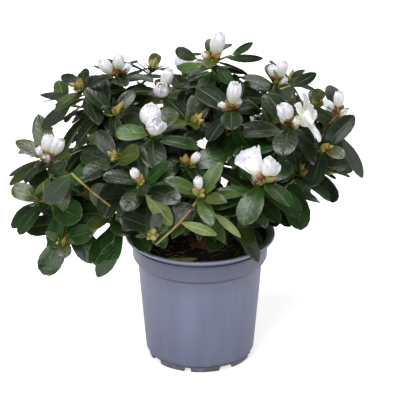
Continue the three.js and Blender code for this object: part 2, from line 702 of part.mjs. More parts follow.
function buildPlant() {
  const plant = new THREE.Group();
  addMesh(plant, 'pot', buildPot(), COLOURS.pot, 0.55);
  addMesh(plant, 'soil', buildSoil(), COLOURS.soil, 1);
  addMesh(plant, 'stem', buildStem(), COLOURS.wood, 0.85);
  const masses = planBoughs();
  growSides(masses);
  growBlooms(masses);
  growLeaves(masses);
  for (const mass of masses) {
    addMesh(plant, `bough_${mass.row.name}`, limbGeometry(mass.bough, 5), COLOURS.wood, 0.8);
    addMesh(plant, `foliage_${mass.row.name}`, buildMass(mass), COLOURS.leaves, 0.5);
  }
  plant.position.x = POT_AXIS_X;
  return plant;
}

export default buildPlant();
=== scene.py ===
"""Potted white azalea: bark, leaves, blossom, peat and nursery pot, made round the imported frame.

The plant is grown by the same seeded rule as the solids (boughs, side shoots, whorls of leaves),
then carried further: inner leaves, young leaves, petals, bud scales and leaf buds. Sizes are in
millimetres until a mesh is written, which is in metres.
"""
import math

import bmesh
import bpy
import numpy as np
from mathutils import Matrix, Vector, noise


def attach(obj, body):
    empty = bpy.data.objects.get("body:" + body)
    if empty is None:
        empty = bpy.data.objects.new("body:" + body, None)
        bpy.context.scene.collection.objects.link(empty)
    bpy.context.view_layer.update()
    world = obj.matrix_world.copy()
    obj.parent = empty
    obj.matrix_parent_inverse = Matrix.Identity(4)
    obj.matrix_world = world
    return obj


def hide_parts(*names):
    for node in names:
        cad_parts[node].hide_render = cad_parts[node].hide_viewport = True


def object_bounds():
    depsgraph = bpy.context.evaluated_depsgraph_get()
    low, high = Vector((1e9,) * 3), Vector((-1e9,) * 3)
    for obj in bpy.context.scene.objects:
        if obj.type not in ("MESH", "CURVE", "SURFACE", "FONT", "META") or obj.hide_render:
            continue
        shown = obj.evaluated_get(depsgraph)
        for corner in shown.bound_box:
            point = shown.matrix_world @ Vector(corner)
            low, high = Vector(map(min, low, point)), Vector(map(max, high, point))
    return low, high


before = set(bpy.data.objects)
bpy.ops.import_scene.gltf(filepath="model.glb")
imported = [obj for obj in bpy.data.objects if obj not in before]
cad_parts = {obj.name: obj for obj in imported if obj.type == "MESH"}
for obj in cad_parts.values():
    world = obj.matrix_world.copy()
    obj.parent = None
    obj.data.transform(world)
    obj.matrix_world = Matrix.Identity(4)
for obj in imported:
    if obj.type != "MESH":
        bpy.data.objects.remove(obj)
cad_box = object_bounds()

MM = 0.001
DEGREES = math.pi / 180
UP = np.array([0.0, 0.0, 1.0])

# ---------------------------------------------------------------- driving sizes, as in the solids
POT_AXIS_X = 12
GAP = 0.3

RIM_RADIUS = 65
RIM_TOP = 115.5
RIM_EDGE = 112
BEAD_Z = 107
COLLAR_TOP_RADIUS = 59.3
COLLAR_FOOT_RADIUS = 58.2
COLLAR_FOOT = 92.8
BODY_TOP_RADIUS = 54.3
BODY_FOOT_RADIUS = 47
FOOT_HEIGHT = 6.3
FOOT_RADIUS = 44.3
FOOT_WALL = 3
FOOT_COUNT = 8
FIRST_NOTCH = -14
NARROW_NOTCH = 6
WIDE_NOTCH = 15
POT_WALL = 1.5
BASE_PLATE = 2
DRAIN_RADIUS = 4
DRAIN_CIRCLE = 33

SOIL_TOP = 105
SOIL_EDGE_DROP = 2

STEM_FOOT_RADIUS = 11
STEM_RADIUS = 7.6
STEM_TOP_RADIUS = 5.6
STEM_HEIGHT = 34

RING_COUNTS = (8, 9, 9)
RING_HEIGHTS = (29, 20, 11)
BOUGH_RADIUS = 2.1
BOUGH_TIP_RADIUS = 1.6
BOUGH_START_RUN = 13
BOUGH_SHARES = (0, 0.04, 0.22, 0.55, 1)
TWIG_SHARES = (0, 0.4, 0.75, 1)
FORK_STATION = 1
FORK_DEPTH = 31
FORK_SPACING = 3.3
TWIG_RADIUS = 1.5
SIDE_TWIG_RADIUS = 1.3
SHOOT_RADIUS = 1.1
MASS_STEM = 46

WHORL_DEPTH = 22
GOLDEN_TURN = 137.5
YOUNG_RISE = 50
LEANING_DROOP = -12
UPRIGHT_DROOP = 32
LEAF_THICKNESS = 0.7
LEAF_SINK = 0.3
LEAF_SWINGS = (0, 14, -14, 0, 24, -24, 12, -12, 0)
LEAF_TILTS = (0, 4, 4, -16, -8, -8, -28, 20, 34)
LEAF_FULLNESS = 1.22
LEAD_LEAVES = 10
SIDE_LEAVES = 6
SIDE_TRIES = 5
SIDE_REACH = 36
SIDE_DROP = 17
WHORL_SPACING = 31
WHORL_ROOM = np.array([28, 28, 24])
CLEARANCE = 0.5
WHORL_CLEARANCE = 0.1
POT_CLEARANCE = 2

REACH_LOW = np.array([-171, -140, 88])
REACH_HIGH = np.array([145, 140, 302])
CROWN_HEART = np.array([0, 0, 120])
LIGHT_LEAN = np.array([0, -0.3, 0])
LIGHT_REACH = (30, 75)
BLOOM_GIRTH = {"tip": 0.25, "cup": 0.34, "open": 0.2}

# Where each kind of growth starts its own run of seeds.
WHORL_SEEDS = 100
SIDE_SEEDS = 5000
TONE_SEED = 9000
YOUNG_SEEDS = 20000
INNER_SEEDS = 30000
LEAF_SEEDS = 40000
BLOOM_SEEDS = 50000
BUD_SEEDS = 60000
LITTER_SEED = 777

# One row for each bough: name, where its lead shoot ends, leaf length, how slender the leaves are,
# side shoots tried, turn of the first leaf, the tone of its leaves, and its blossom as
# (kind, lean to the right, lean up, length).
BOUGHS = [
    ("left_tip", (-101, 5, 246), 40, 0.38, 2, 170, "dark", []),
    ("left_crest", (-71, 30, 248), 42, 0.48, 2, 300, "dark",
     [("tip", -12, 4, 24), ("tip", 2, 16, 22), ("tip", 13, 6, 17)]),
    ("mid_crest", (-33, 15, 240), 36, 0.48, 2, 20, "olive",
     [("cup", 0, -2, 20), ("tip", 6, 13, 24)]),
    ("front_left_high", (-41, -42, 226), 44, 0.5, 2, 330, "dark",
     [("cup", -1, 22, 26), ("cup", 1, 1, 23), ("tip", 12, -1, 17)]),
    ("front_left", (-71, -58, 208), 44, 0.46, 1, 130, "dark", []),
    ("left", (-131, -15, 190), 48, 0.36, 2, 176, "olive",
     [("tip", 10, 8, 26), ("tip", 2, 20, 24), ("tip", -10, 8, 14), ("tip", 0, -6, 15)]),
    ("front_left_mid", (-49, -87, 198), 41, 0.44, 1, 284, "dark",
     [("tip", -8, 11, 17)]),
    ("front", (0, -82, 186), 41, 0.34, 0, 310, "fresh",
     [("tip", -2, 14, 18)]),
    ("middle", (-12, -52, 200), 45, 0.5, 1, 60, "dark",
     [("tip", 12, 4, 17)]),
    ("top", (11, 20, 266), 37, 0.42, 2, 190, "green",
     [("tip", 5, 16, 29), ("tip", -12, 4, 13)]),
    ("right_crest", (65, 20, 246), 39, 0.48, 2, 10, "dark",
     [("tip", -4, 13, 18), ("tip", 7, 14, 23), ("tip", 8, -3, 13)]),
    ("mid_high", (26, -20, 238), 43, 0.5, 2, 20, "dark",
     [("tip", 2, 10, 28), ("tip", -9, 0, 13), ("tip", 15, 9, 13)]),
    ("right_high", (78, -38, 233), 43, 0.5, 2, 250, "dark",
     [("cup", -6, 7, 22), ("open", 16, 3, 27), ("tip", 3, -10, 15), ("tip", -13, -3, 13)]),
    ("right_tip", (118, 5, 224), 46, 0.4, 1, 300, "dark",
     [("tip", 1, 16, 22), ("tip", -7, 3, 18), ("tip", 3, -2, 13)]),
    ("front_right", (54, -76, 197), 41, 0.52, 0, 180, "green",
     [("cup", -17, 15, 28), ("cup", 3, 9, 23), ("tip", 13, 8, 20), ("tip", -10, -3, 13)]),
    ("right_low", (84, -28, 180), 41, 0.5, 0, 330, "green", []),
    ("left_low", (-133, -26, 156), 46, 0.48, 2, 176, "green", []),
    ("front_left_low", (-76, -50, 154), 46, 0.5, 2, 246, "green", []),
    ("front_low", (28, -44, 152), 42, 0.42, 0, 300, "olive", []),
    ("back_left_high", (-84, 76, 203), 42, 0.5, 2, 60, "dark",
     [("cup", 0, 12, 25), ("tip", -9, 6, 20)]),
    ("back_high", (-8, 76, 226), 42, 0.5, 2, 100, "dark",
     [("cup", -6, 10, 25), ("tip", 8, 8, 20)]),
    ("back_right_high", (72, 78, 203), 42, 0.5, 2, 40, "dark",
     [("tip", 5, 10, 22)]),
    ("back_left_low", (-108, 60, 152), 44, 0.5, 3, 150, "green", []),
    ("back_low", (-38, 93, 162), 43, 0.5, 2, 80, "dark",
     [("tip", -3, 10, 20)]),
    ("back_right_low", (42, 97, 160), 43, 0.5, 2, 110, "green",
     [("cup", 0, 12, 24)]),
    ("right_back", (92, 48, 188), 42, 0.5, 2, 0, "dark", []),
]

# One row for each single shoot that stands or hangs clear of the crown: the corners of its curve,
# its leaf's share of the way along it, and the leaf's tip, width and tone, with -1 where it shows
# its back.
STRAY_SHOOTS = [
    ([(-1, -70, 180), (-5, -104, 181), (-22, -108, 166), (-37, -100, 148)], 0.55,
     (14, -104, 158), 10.5, "olive", -1),
    ([(1, -60, 180), (3, -85, 180), (7, -90, 178), (11, -89, 172)], 1,
     (35, -90, 151), 8.5, "olive", -1),
    ([(-50, -55, 182), (-50, -75, 188), (-50, -90, 194), (-46, -95, 192)], 1,
     (-22, -99, 167), 17, "olive", -1),
    ([(22, -30, 160), (28, -46, 162), (32, -53, 158), (32, -54, 152)], 1,
     (49, -64, 114), 15, "dark", 1),
    ([(11, 20, 262), (8, 18, 266), (3, 13, 268), (-2, 10, 271)], 1,
     (-21, 9, 279), 12, "dark", 1),
    ([(11, 20, 258), (8, 15, 262), (4, 8, 266), (0, 4, 268)], 1,
     (-20, 3, 266), 9, "fresh", 1),
    ([(11, 20, 262), (13, 18, 266), (17, 16, 269), (21, 14, 271)], 1,
     (54, 13, 270), 7.5, "dark", 1),
    ([(11, 20, 262), (14, 20, 266), (20, 21, 268), (27, 22, 270)], 1,
     (45, 23, 281), 7.5, "green", 1),
    ([(-101, 5, 242), (-103, 5, 241), (-105, 5, 240), (-107, 5, 239)], 1,
     (-137, 5, 240), 8, "dark", 1),
    ([(-101, 5, 240), (-104, 3, 239), (-107, 1, 238), (-109, 0, 236)], 1,
     (-136, -1, 212), 12, "dark", 1),
    ([(-130, 5, 192), (-133, 3, 188), (-135, 1, 185), (-136, 0, 183)], 1,
     (-165, -1, 166), 7, "green", 1),
    ([(-60, -50, 150), (-63, -54, 147), (-66, -58, 142), (-69, -60, 137)], 1,
     (-88, -62, 99), 18, "green", 1),
    ([(68, 10, 243), (70, 10, 244), (73, 10, 245), (77, 10, 246)], 1,
     (99, 9, 258), 11, "dark", 1),
    ([(112, -3, 205), (115, -4, 206), (118, -5, 207), (121, -5, 206)], 1,
     (142, -6, 166), 12, "dark", 1),
    ([(-108, -72, 201), (-90, -78, 186), (-70, -76, 166), (-48, -60, 146)], 0,
     (-131, -76, 174), 19, "dark", 1),
]


# ---------------------------------------------------------------- small helpers
def mix(a, b, share):
    return a + (b - a) * share


def unit(vector):
    return vector / np.linalg.norm(vector)


def smoothstep(value, low, high):
    share = min(max((value - low) / (high - low), 0), 1)
    return share * share * (3 - 2 * share)


def seeded(seed):
    """The same numbers between 0 and 1 for the same seed."""
    word = 0xFFFFFFFF
    state = seed & word

    def draw():
        nonlocal state
        state = (state + 0x6D2B79F5) & word
        bits = ((state ^ (state >> 15)) * (state | 1)) & word
        bits = (bits + (bits ^ (bits >> 7)) * (bits | 61)) & word ^ bits
        return (bits ^ (bits >> 14)) / 4294967296

    return draw


def across_axis(axis):
    """Two directions square to an axis, the first as level as it can be."""
    level = np.array([1.0, 0, 0]) if abs(axis[2]) > 0.999 else unit(np.cross(UP, axis))
    return level, np.cross(axis, level)


def around(axis, degrees):
    u, v = across_axis(axis)
    return u * math.cos(degrees * DEGREES) + v * math.sin(degrees * DEGREES)


def turned(vector, axis, angle):
    """A vector turned about a unit axis by an angle in radians."""
    cos, sin = math.cos(angle), math.sin(angle)
    return vector * cos + np.cross(axis, vector) * sin + axis * np.dot(axis, vector) * (1 - cos)


class Curve:
    """A cubic Bezier curve, measured along its length."""

    STEPS = 200

    def __init__(self, *corners):
        self.corners = np.array(corners, float)
        self.shares = np.linspace(0, 1, self.STEPS + 1)
        steps = np.linalg.norm(np.diff(self.at(self.shares), axis=0), axis=1)
        self.lengths = np.concatenate([[0], np.cumsum(steps)])
        self.length = self.lengths[-1]

    def at(self, t):
        t = np.atleast_1d(t)[:, None]
        a, b, c, d = self.corners
        return (1 - t) ** 3 * a + 3 * (1 - t) ** 2 * t * b + 3 * (1 - t) * t**2 * c + t**3 * d

    def point_and_tangent(self, distance):
        t = np.interp(distance, self.lengths, self.shares)
        ahead = self.at([max(t - 1e-4, 0), min(t + 1e-4, 1)])
        return self.at(t)[0], unit(ahead[1] - ahead[0])


# ---------------------------------------------------------------- convex pieces and their clearance
class Piece:
    """A convex piece: its corners, directions it may be clear along, edges and a ball round it."""

    def __init__(self, points, normals, edges):
        self.points = np.array(points)
        self.normals = np.array(normals).reshape(-1, 3)
        self.edges = np.array(edges).reshape(-1, 3)
        self.centre = self.points.mean(axis=0)
        self.radius = np.linalg.norm(self.points - self.centre, axis=1).max()


def are_clear(a, b, gap):
    """True where some direction shows that two pieces are clear of each other."""
    between = b.centre - a.centre
    apart = np.linalg.norm(between)
    if apart > a.radius + b.radius + gap:
        return True
    crosses = np.cross(a.edges[:, None], b.edges[None]).reshape(-1, 3)
    lengths = np.linalg.norm(crosses, axis=1)
    real = lengths**2 >= 1e-4
    crosses = crosses[real] / lengths[real, None]
    axes = np.vstack([between / max(apart, 1e-9), a.normals, b.normals, crosses])
    span_a = axes @ a.points.T
    span_b = axes @ b.points.T
    gaps = np.maximum(span_b.min(1) - span_a.max(1), span_a.min(1) - span_b.max(1))
    return bool((gaps > gap).any())


class Crowd:
    """Pieces with their owners, and quick answers on which of them something is clear of."""

    def __init__(self):
        self.pieces = []
        self.owners = []
        self.balls = np.empty((0, 4))

    def add(self, piece, owner):
        self.pieces.append(piece)
        self.owners.append(owner)
        self.balls = np.vstack([self.balls, [*piece.centre, piece.radius]])

    def all_clear(self, piece, gap, own=None, own_piece=None, own_gap=None):
        """True where a piece is clear of others. An owner may be skipped, or keep its own gap."""
        if not self.pieces:
            return True
        reach = self.balls[:, 3] + piece.radius + gap
        apart = np.linalg.norm(self.balls[:, :3] - piece.centre, axis=1)
        for i in np.nonzero(apart <= reach)[0]:
            other = self.pieces[i]
            if own is not None and self.owners[i] is own:
                if own_piece is None or are_clear(own_piece, other.blade, own_gap):
                    continue
                return False
            if not are_clear(piece, other, gap):
                return False
        return True


def tube_pieces(limb):
    pieces = []
    for i in range(len(limb["points"]) - 1):
        start, end = limb["points"][i], limb["points"][i + 1]
        along = unit(end - start)
        u, v = across_axis(along)
        corners = [
            point + u * su * radius + v * sv * radius
            for point, radius in ((start, limb["radii"][i]), (end, limb["radii"][i + 1]))
            for su, sv in ((1, 1), (1, -1), (-1, 1), (-1, -1))
        ]
        pieces.append(Piece(corners, [along, u, v], [along]))
    return pieces


def pot_piece():
    corners = []
    normals = [UP]
    for side in range(24):
        turn = side * 15 * DEGREES
        out = np.array([math.cos(turn), math.sin(turn), 0])
        corners.append(out * RIM_RADIUS + UP * RIM_TOP)
        corners.append(out * BODY_FOOT_RADIUS)
        normals.append(out)
    return Piece(corners, normals, [])


# ---------------------------------------------------------------- the plant's plan
def stations(curve, start, end, shares, start_radius, end_radius):
    """Places along a stretch of curve, with their directions and radii."""
    found = [curve.point_and_tangent(mix(start, end, share)) for share in shares]
    return {
        "points": [point for point, _ in found],
        "tangents": [tangent for _, tangent in found],
        "radii": [mix(start_radius, end_radius, share) for share in shares],
    }


def stem_radius(height):
    flare = max(0, 1 - height / 10)
    plain = mix(STEM_RADIUS, STEM_TOP_RADIUS, height / STEM_HEIGHT)
    return mix(plain, STEM_FOOT_RADIUS, flare * flare)


def shoot_axis(tip):
    """The way a shoot points: out and up, and in front of the middle also towards the light."""
    lean = LIGHT_LEAN * (1 - smoothstep(tip[1], *LIGHT_REACH))
    return unit(unit(tip - CROWN_HEART) * 0.75 + UP * 0.45 + lean)


def seat_boughs(masses):
    """Share the boughs among rings on the stem, steepest highest, in order round each ring."""
    def bearing(mass):
        return math.atan2(mass["tip"][1], mass["tip"][0]) / DEGREES

    def slope(mass):
        return (mass["tip"][2] - CROWN_HEART[2]) / math.hypot(*mass["tip"][:2])

    by_slope = sorted(masses, key=slope, reverse=True)
    for count, height in zip(RING_COUNTS, RING_HEIGHTS):
        members = sorted(by_slope[:count], key=bearing)
        by_slope = by_slope[count:]
        spread = 360 / count
        offset = sum(bearing(mass) - i * spread for i, mass in enumerate(members)) / count
        for i, mass in enumerate(members):
            mass["seat_turn"] = offset + i * spread
            mass["seat_height"] = height


def bough_curve(mass):
    turn = mass["seat_turn"] * DEGREES
    out = np.array([math.cos(turn), math.sin(turn), 0])
    start = out * (stem_radius(mass["seat_height"]) + GAP)
    start[2] = SOIL_TOP + GAP + mass["seat_height"]
    reach = np.linalg.norm(mass["tip"] - start)
    near_tip = mass["tip"] - mass["axis"] * 0.38 * reach
    return Curve(start, start + out * BOUGH_START_RUN, near_tip, mass["tip"])


def plan_boughs():
    masses = []
    for name, tip, leaf, slim, sides, turn, tone, blooms in BOUGHS:
        tip = np.array(tip, float)
        masses.append({
            "name": name, "tip": tip, "axis": shoot_axis(tip), "leaf": leaf, "slim": slim,
            "sides": sides, "turn": turn, "tone": tone, "bloom_rows": blooms,
            "twigs": [], "whorls": [], "blooms": [],
        })
    seat_boughs(masses)
    for mass in masses:
        curve = bough_curve(mass)
        entry = curve.length - MASS_STEM
        mass["curve"] = curve
        mass["bough"] = stations(
            curve, 0, entry - GAP, BOUGH_SHARES, BOUGH_RADIUS, BOUGH_TIP_RADIUS
        )
        mass["stem"] = stations(
            curve, entry, curve.length, TWIG_SHARES, TWIG_RADIUS, SHOOT_RADIUS
        )
    return masses


def back_along(points, distance):
    """The place on a twig at a distance back from its tip."""
    for i in range(len(points) - 1, 0, -1):
        step = np.linalg.norm(points[i] - points[i - 1])
        if distance <= step:
            return mix(points[i], points[i - 1], distance / step)
        distance -= step
    return points[0]


def make_whorl(mass, twig, axis, leaf_count, leaf_length, seed):
    draw = seeded(seed)
    draws = [[draw() for _ in range(4)] for _ in range(leaf_count)]
    turn = draw() * 360 if mass["whorls"] else mass["turn"]
    return {
        "mass": mass, "twig": twig, "centre": twig["points"][-1], "axis": axis,
        "leaf_count": leaf_count, "leaf_length": leaf_length, "slim": mass["slim"],
        "turn": turn, "draws": draws,
    }


def within_reach(points):
    return bool((points > REACH_LOW).all() and (points < REACH_HIGH).all())


def side_curve(mass, out, stretch):
    centre = mass["tip"] + out * SIDE_REACH * stretch - mass["axis"] * SIDE_DROP
    axis = unit(mass["axis"] * 0.6 + out * 0.7 + UP * 0.3)
    depth = FORK_DEPTH - FORK_SPACING * len(mass["twigs"])
    fork = back_along(mass["stem"]["points"], depth)
    ahead = fork + mass["stem"]["tangents"][FORK_STATION] * 12
    return Curve(fork, ahead, centre - axis * 14, centre), centre, axis


def grow_sides(masses):
    """Side shoots round each lead shoot, where there is room for another whorl."""
    pot = pot_piece()
    limbs, twigs = Crowd(), Crowd()
    for index, mass in enumerate(masses):
        for piece in tube_pieces(mass["bough"]):
            limbs.add(piece, mass)
        for piece in tube_pieces(mass["stem"]):
            twigs.add(piece, mass)
        mass["whorls"].append(make_whorl(
            mass, mass["stem"], mass["axis"], LEAD_LEAVES, mass["leaf"], WHORL_SEEDS * index
        ))
    centres = [mass["whorls"][0]["centre"] for mass in masses]
    for index, mass in enumerate(masses):
        draw = seeded(SIDE_SEEDS + index)
        for _ in range(mass["sides"] * SIDE_TRIES):
            turn = draw() * 360
            stretch = mix(0.9, 1.15, draw())
            if len(mass["whorls"]) > mass["sides"]:
                continue
            curve, centre, axis = side_curve(mass, around(mass["axis"], turn), stretch)
            twig = stations(curve, 0, curve.length, TWIG_SHARES, SIDE_TWIG_RADIUS, SHOOT_RADIUS)
            pieces = tube_pieces(twig)
            if not (
                all(np.linalg.norm(other - centre) >= WHORL_SPACING for other in centres)
                and all(limbs.all_clear(piece, CLEARANCE) for piece in pieces)
                and all(twigs.all_clear(piece, CLEARANCE, own=mass) for piece in pieces)
                and all(are_clear(piece, pot, POT_CLEARANCE) for piece in pieces)
                and within_reach(np.array([centre + WHORL_ROOM, centre - WHORL_ROOM]))
            ):
                continue
            for piece in pieces:
                twigs.add(piece, mass)
            centres.append(centre)
            twig["curve"] = curve
            mass["twigs"].append(twig)
            seed = WHORL_SEEDS * index + len(mass["whorls"])
            mass["whorls"].append(
                make_whorl(mass, twig, axis, SIDE_LEAVES, mass["leaf"] * 0.94, seed)
            )
    return limbs, twigs


# ---------------------------------------------------------------- leaves and blossom, as planned
def leaf_from(root, along, sky, length, width, **more):
    """A leaf that grows from its root along a direction, its face turned to the sky it sees."""
    across = unit(np.cross(sky, along))
    return {
        "root": root, "along": along, "across": across, "face": np.cross(along, across),
        "length": length, "width": width, **more,
    }


def leaf_point(leaf, along, side, lift):
    width = leaf["width"] * 0.5 * side
    arch = leaf["length"] * (0.12 * along - 0.2 * along * along)
    return (
        leaf["root"] + leaf["along"] * leaf["length"] * along**0.85 + leaf["across"] * width
        + leaf["face"] * (arch + lift + 0.1 * abs(width))
    )


def leaf_piece(leaf, start=0.0):
    """The convex piece round a leaf, or round the part of it beyond its narrow root."""
    outline = ((start, 0), (0.5, 1), (1, 0), (0.5, -1))
    corners = [leaf_point(leaf, along, side, 0) for along, side in outline]
    edges = [unit(corners[(i + 1) % 4] - corners[i]) for i in range(4)]
    normals = [unit(np.cross(edge, leaf["face"])) for edge in edges]
    corners.append(leaf_point(leaf, 0.45, 0, LEAF_THICKNESS / 2))
    corners.append(leaf_point(leaf, 0.45, 0, -LEAF_THICKNESS / 2))
    return Piece(corners, [leaf["face"], *normals], edges)


def make_leaf(whorl, index, retry):
    """One leaf of a whorl: old leaves low, long and spreading, young ones short and upright."""
    turn_draw, lift_draw, size_draw, twist_draw = whorl["draws"][index]
    axis = whorl["axis"]
    age = 1 - index / (whorl["leaf_count"] - 1)
    turn = whorl["turn"] + index * GOLDEN_TURN + (turn_draw - 0.5) * 22 + LEAF_SWINGS[retry]
    droop = mix(LEANING_DROOP, UPRIGHT_DROOP, smoothstep(axis[2], 0.65, 0.95))
    rise = mix(YOUNG_RISE, -droop, age**0.6) + (lift_draw - 0.5) * 20 + LEAF_TILTS[retry]
    rise *= DEGREES
    along = around(axis, turn) * math.cos(rise) + axis * math.sin(rise)
    along = unit(along + UP * (-0.1 * age))
    sky = turned(axis * 0.65 + UP * 0.35, along, (twist_draw - 0.5) * 0.7)
    length = whorl["leaf_length"] * mix(0.55, 1, age**0.5) * mix(0.88, 1.1, size_draw)
    root = back_along(whorl["twig"]["points"], 1 + WHORL_DEPTH * age * age) - along * LEAF_SINK
    width = length * whorl["slim"] * LEAF_FULLNESS
    return leaf_from(root, along, sky, length, width, age=age, whorl=whorl)


def bud_piece(bloom):
    u, v = across_axis(bloom["axis"])
    length = bloom["length"]
    girth = length * BLOOM_GIRTH[bloom["kind"]] * 1.1
    corners = [bloom["root"], bloom["root"] + bloom["axis"] * length * 1.06]
    for share in (0.25, 0.8):
        for side in range(6):
            corner = bloom["root"] + bloom["axis"] * length * share
            corner = corner + u * math.cos(side * 60 * DEGREES) * girth
            corners.append(corner + v * math.sin(side * 60 * DEGREES) * girth)
    return Piece(corners, [bloom["axis"], u, v], [bloom["axis"]])


def open_petals(bloom):
    """The petals of an open flower, as short broad leaves round a small cup."""
    petals = []
    for index in range(6):
        along = unit(around(bloom["axis"], index * 60) * 0.85 + bloom["axis"] * 0.55)
        root = bloom["root"] + bloom["axis"] * 3
        length = bloom["length"]
        petals.append(leaf_from(root, along, bloom["axis"], length, length * 0.72))
    return petals


def grow_blooms(masses):
    crowd = Crowd()
    for mass in masses:
        centre = mass["whorls"][0]["centre"]
        for kind, right, up, length in mass["bloom_rows"]:
            toward = -3 if centre[1] < 40 else 6
            axis = unit(np.array([right, toward, up], float))
            bloom = {"kind": kind, "axis": axis, "root": centre - axis * 1.2, "length": length}
            mass["blooms"].append(bloom)
            crowd.add(bud_piece(bloom), mass)
            if kind == "open":
                for petal in open_petals(bloom):
                    crowd.add(leaf_piece(petal), mass)
    return crowd


def grow_leaves(masses, limbs, twigs, blooms):
    """Every whorl takes its leaves in turn, and a leaf with no free place is left out."""
    pot = pot_piece()
    stem_ends = [UP * SOIL_TOP, UP * (SOIL_TOP + STEM_HEIGHT)]
    stem = tube_pieces({"points": stem_ends, "radii": [STEM_RADIUS, STEM_RADIUS]})[0]
    leaves, crowd = [], Crowd()
    whorls = [whorl for mass in masses for whorl in mass["whorls"]]
    for index in range(LEAD_LEAVES):
        for whorl in whorls:
            if index >= whorl["leaf_count"]:
                continue
            for retry in range(len(LEAF_SWINGS)):
                leaf = make_leaf(whorl, index, retry)
                piece = leaf_piece(leaf)
                piece.blade = leaf_piece(leaf, 0.18)
                if (
                    within_reach(piece.points)
                    and are_clear(piece, pot, CLEARANCE)
                    and are_clear(piece, stem, CLEARANCE)
                    and limbs.all_clear(piece, CLEARANCE)
                    and twigs.all_clear(piece, CLEARANCE, own=whorl["mass"])
                    and blooms.all_clear(piece.blade, CLEARANCE)
                    and crowd.all_clear(piece, CLEARANCE, whorl, piece.blade, WHORL_CLEARANCE)
                ):
                    leaves.append(leaf)
                    crowd.add(piece, whorl)
                    break
    return leaves, crowd


# ---------------------------------------------------------------- growth beyond the solids
YOUNG_LEAVES = 4
YOUNG_LENGTH = (9, 19)
INNER_TRIES = 24
INNER_DEPTH = (20, 46)
INNER_CLEARANCE = 0.05
INNER_POT_CLEARANCE = 12
BUDS_WITH_BLOOM = 4
BUDS_ALONE = 6
BUD_LENGTH = (9, 15)


def tone_of(whorl, age, draw):
    """The tone of a leaf: its spray's own, with some young ones paler and some old ones darker."""
    tone = whorl["mass"]["tone"]
    if age < 0.35 and draw < 0.3:
        return "olive" if draw < 0.26 else "fresh"
    if tone == "dark" and draw > 0.84:
        return "green"
    if tone == "olive" and draw > 0.7:
        return "dark"
    return tone


def grow_young_leaves(whorls):
    """Small upright leaves round each shoot tip, between its blossom and its older leaves."""
    leaves = []
    for number, whorl in enumerate(whorls):
        draw = seeded(YOUNG_SEEDS + number)
        axis = whorl["axis"]
        for index in range(YOUNG_LEAVES):
            rise = mix(28, 66, draw()) * DEGREES
            out = around(axis, index * GOLDEN_TURN + draw() * 60)
            along = unit(out * math.cos(rise) + axis * math.sin(rise))
            length = mix(*YOUNG_LENGTH, draw() ** 1.4)
            leaf = leaf_from(
                whorl["centre"] - axis * (1 + index), along, axis, length,
                length * mix(0.3, 0.44, draw()), tone="olive" if draw() < 0.7 else "fresh",
            )
            if draw() < 0.5:
                leaf["tone"] = whorl["mass"]["tone"]
            leaves.append(leaf)
    return leaves


def grow_inner_leaves(whorls, crowd, others):
    """Older leaves further back on each shoot, wherever there is room for one."""
    pot = pot_piece()
    leaves = []
    for number, whorl in enumerate(whorls):
        draw = seeded(INNER_SEEDS + number)
        axis = whorl["axis"]
        for _ in range(INNER_TRIES):
            root = back_along(whorl["twig"]["points"], mix(*INNER_DEPTH, draw()))
            out = around(axis, draw() * 360)
            rise = mix(-25, 25, draw()) * DEGREES
            along = unit(out * math.cos(rise) + axis * math.sin(rise) - UP * 0.12)
            sky = turned(axis * 0.5 + UP * 0.5, along, (draw() - 0.5) * 0.8)
            length = whorl["leaf_length"] * mix(0.62, 0.98, draw())
            leaf = leaf_from(
                root, along, sky, length, length * whorl["slim"] * mix(1.0, 1.15, draw()),
                tone="dark" if draw() < 0.6 else "green",
            )
            piece = leaf_piece(leaf)
            piece.blade = leaf_piece(leaf, 0.25)
            if (
                within_reach(piece.points)
                and are_clear(piece, pot, INNER_POT_CLEARANCE)
                and all(c.all_clear(piece.blade, INNER_CLEARANCE) for c in (crowd, *others))
            ):
                leaves.append(leaf)
                crowd.add(piece, whorl)
    return leaves


def fallen_leaf():
    """An old leaf that lies face down on the peat in front of the stem."""
    root = np.array([-29, -37, SOIL_TOP + 1.5])
    return leaf_from(root, unit(np.array([1, -0.12, 0])), -UP, 28, 9, tone="fresh")


def stray_leaf(curve, share, tip, width, tone, facing):
    """The leaf of a single shoot. It turns its face to the front, or away from it."""
    root = curve.at(share)[0]
    sky = [0.1, -0.95 * facing, 0.2 * facing]
    return leaf_from(root, unit(tip - root), sky, np.linalg.norm(tip - root), width, tone=tone)


# ---------------------------------------------------------------- joined meshes from arrays
# The reach of the solids round the pot's axis, in mm. A leaf stays this far inside it, and a
# petal or scale this far past it is pressed back, to just inside the box of the solids.
SOLIDS_LOW, SOLIDS_HIGH = (np.array(corner) / MM - [POT_AXIS_X, 0, 0] for corner in cad_box)
LEAF_MARGIN = 0.5
PETAL_OVERREACH = 2
PLANT_SHARP = 60
REACH_BOX = (np.array(cad_box[0]) + 0.3 * MM, np.array(cad_box[1]) - 0.3 * MM)


def inside(surface, past):
    """True where a surface is inside the reach of the solids, or no further past it than this."""
    points = surface.reshape(-1, 3)
    return bool((points > SOLIDS_LOW - past).all() and (points < SOLIDS_HIGH + past).all())


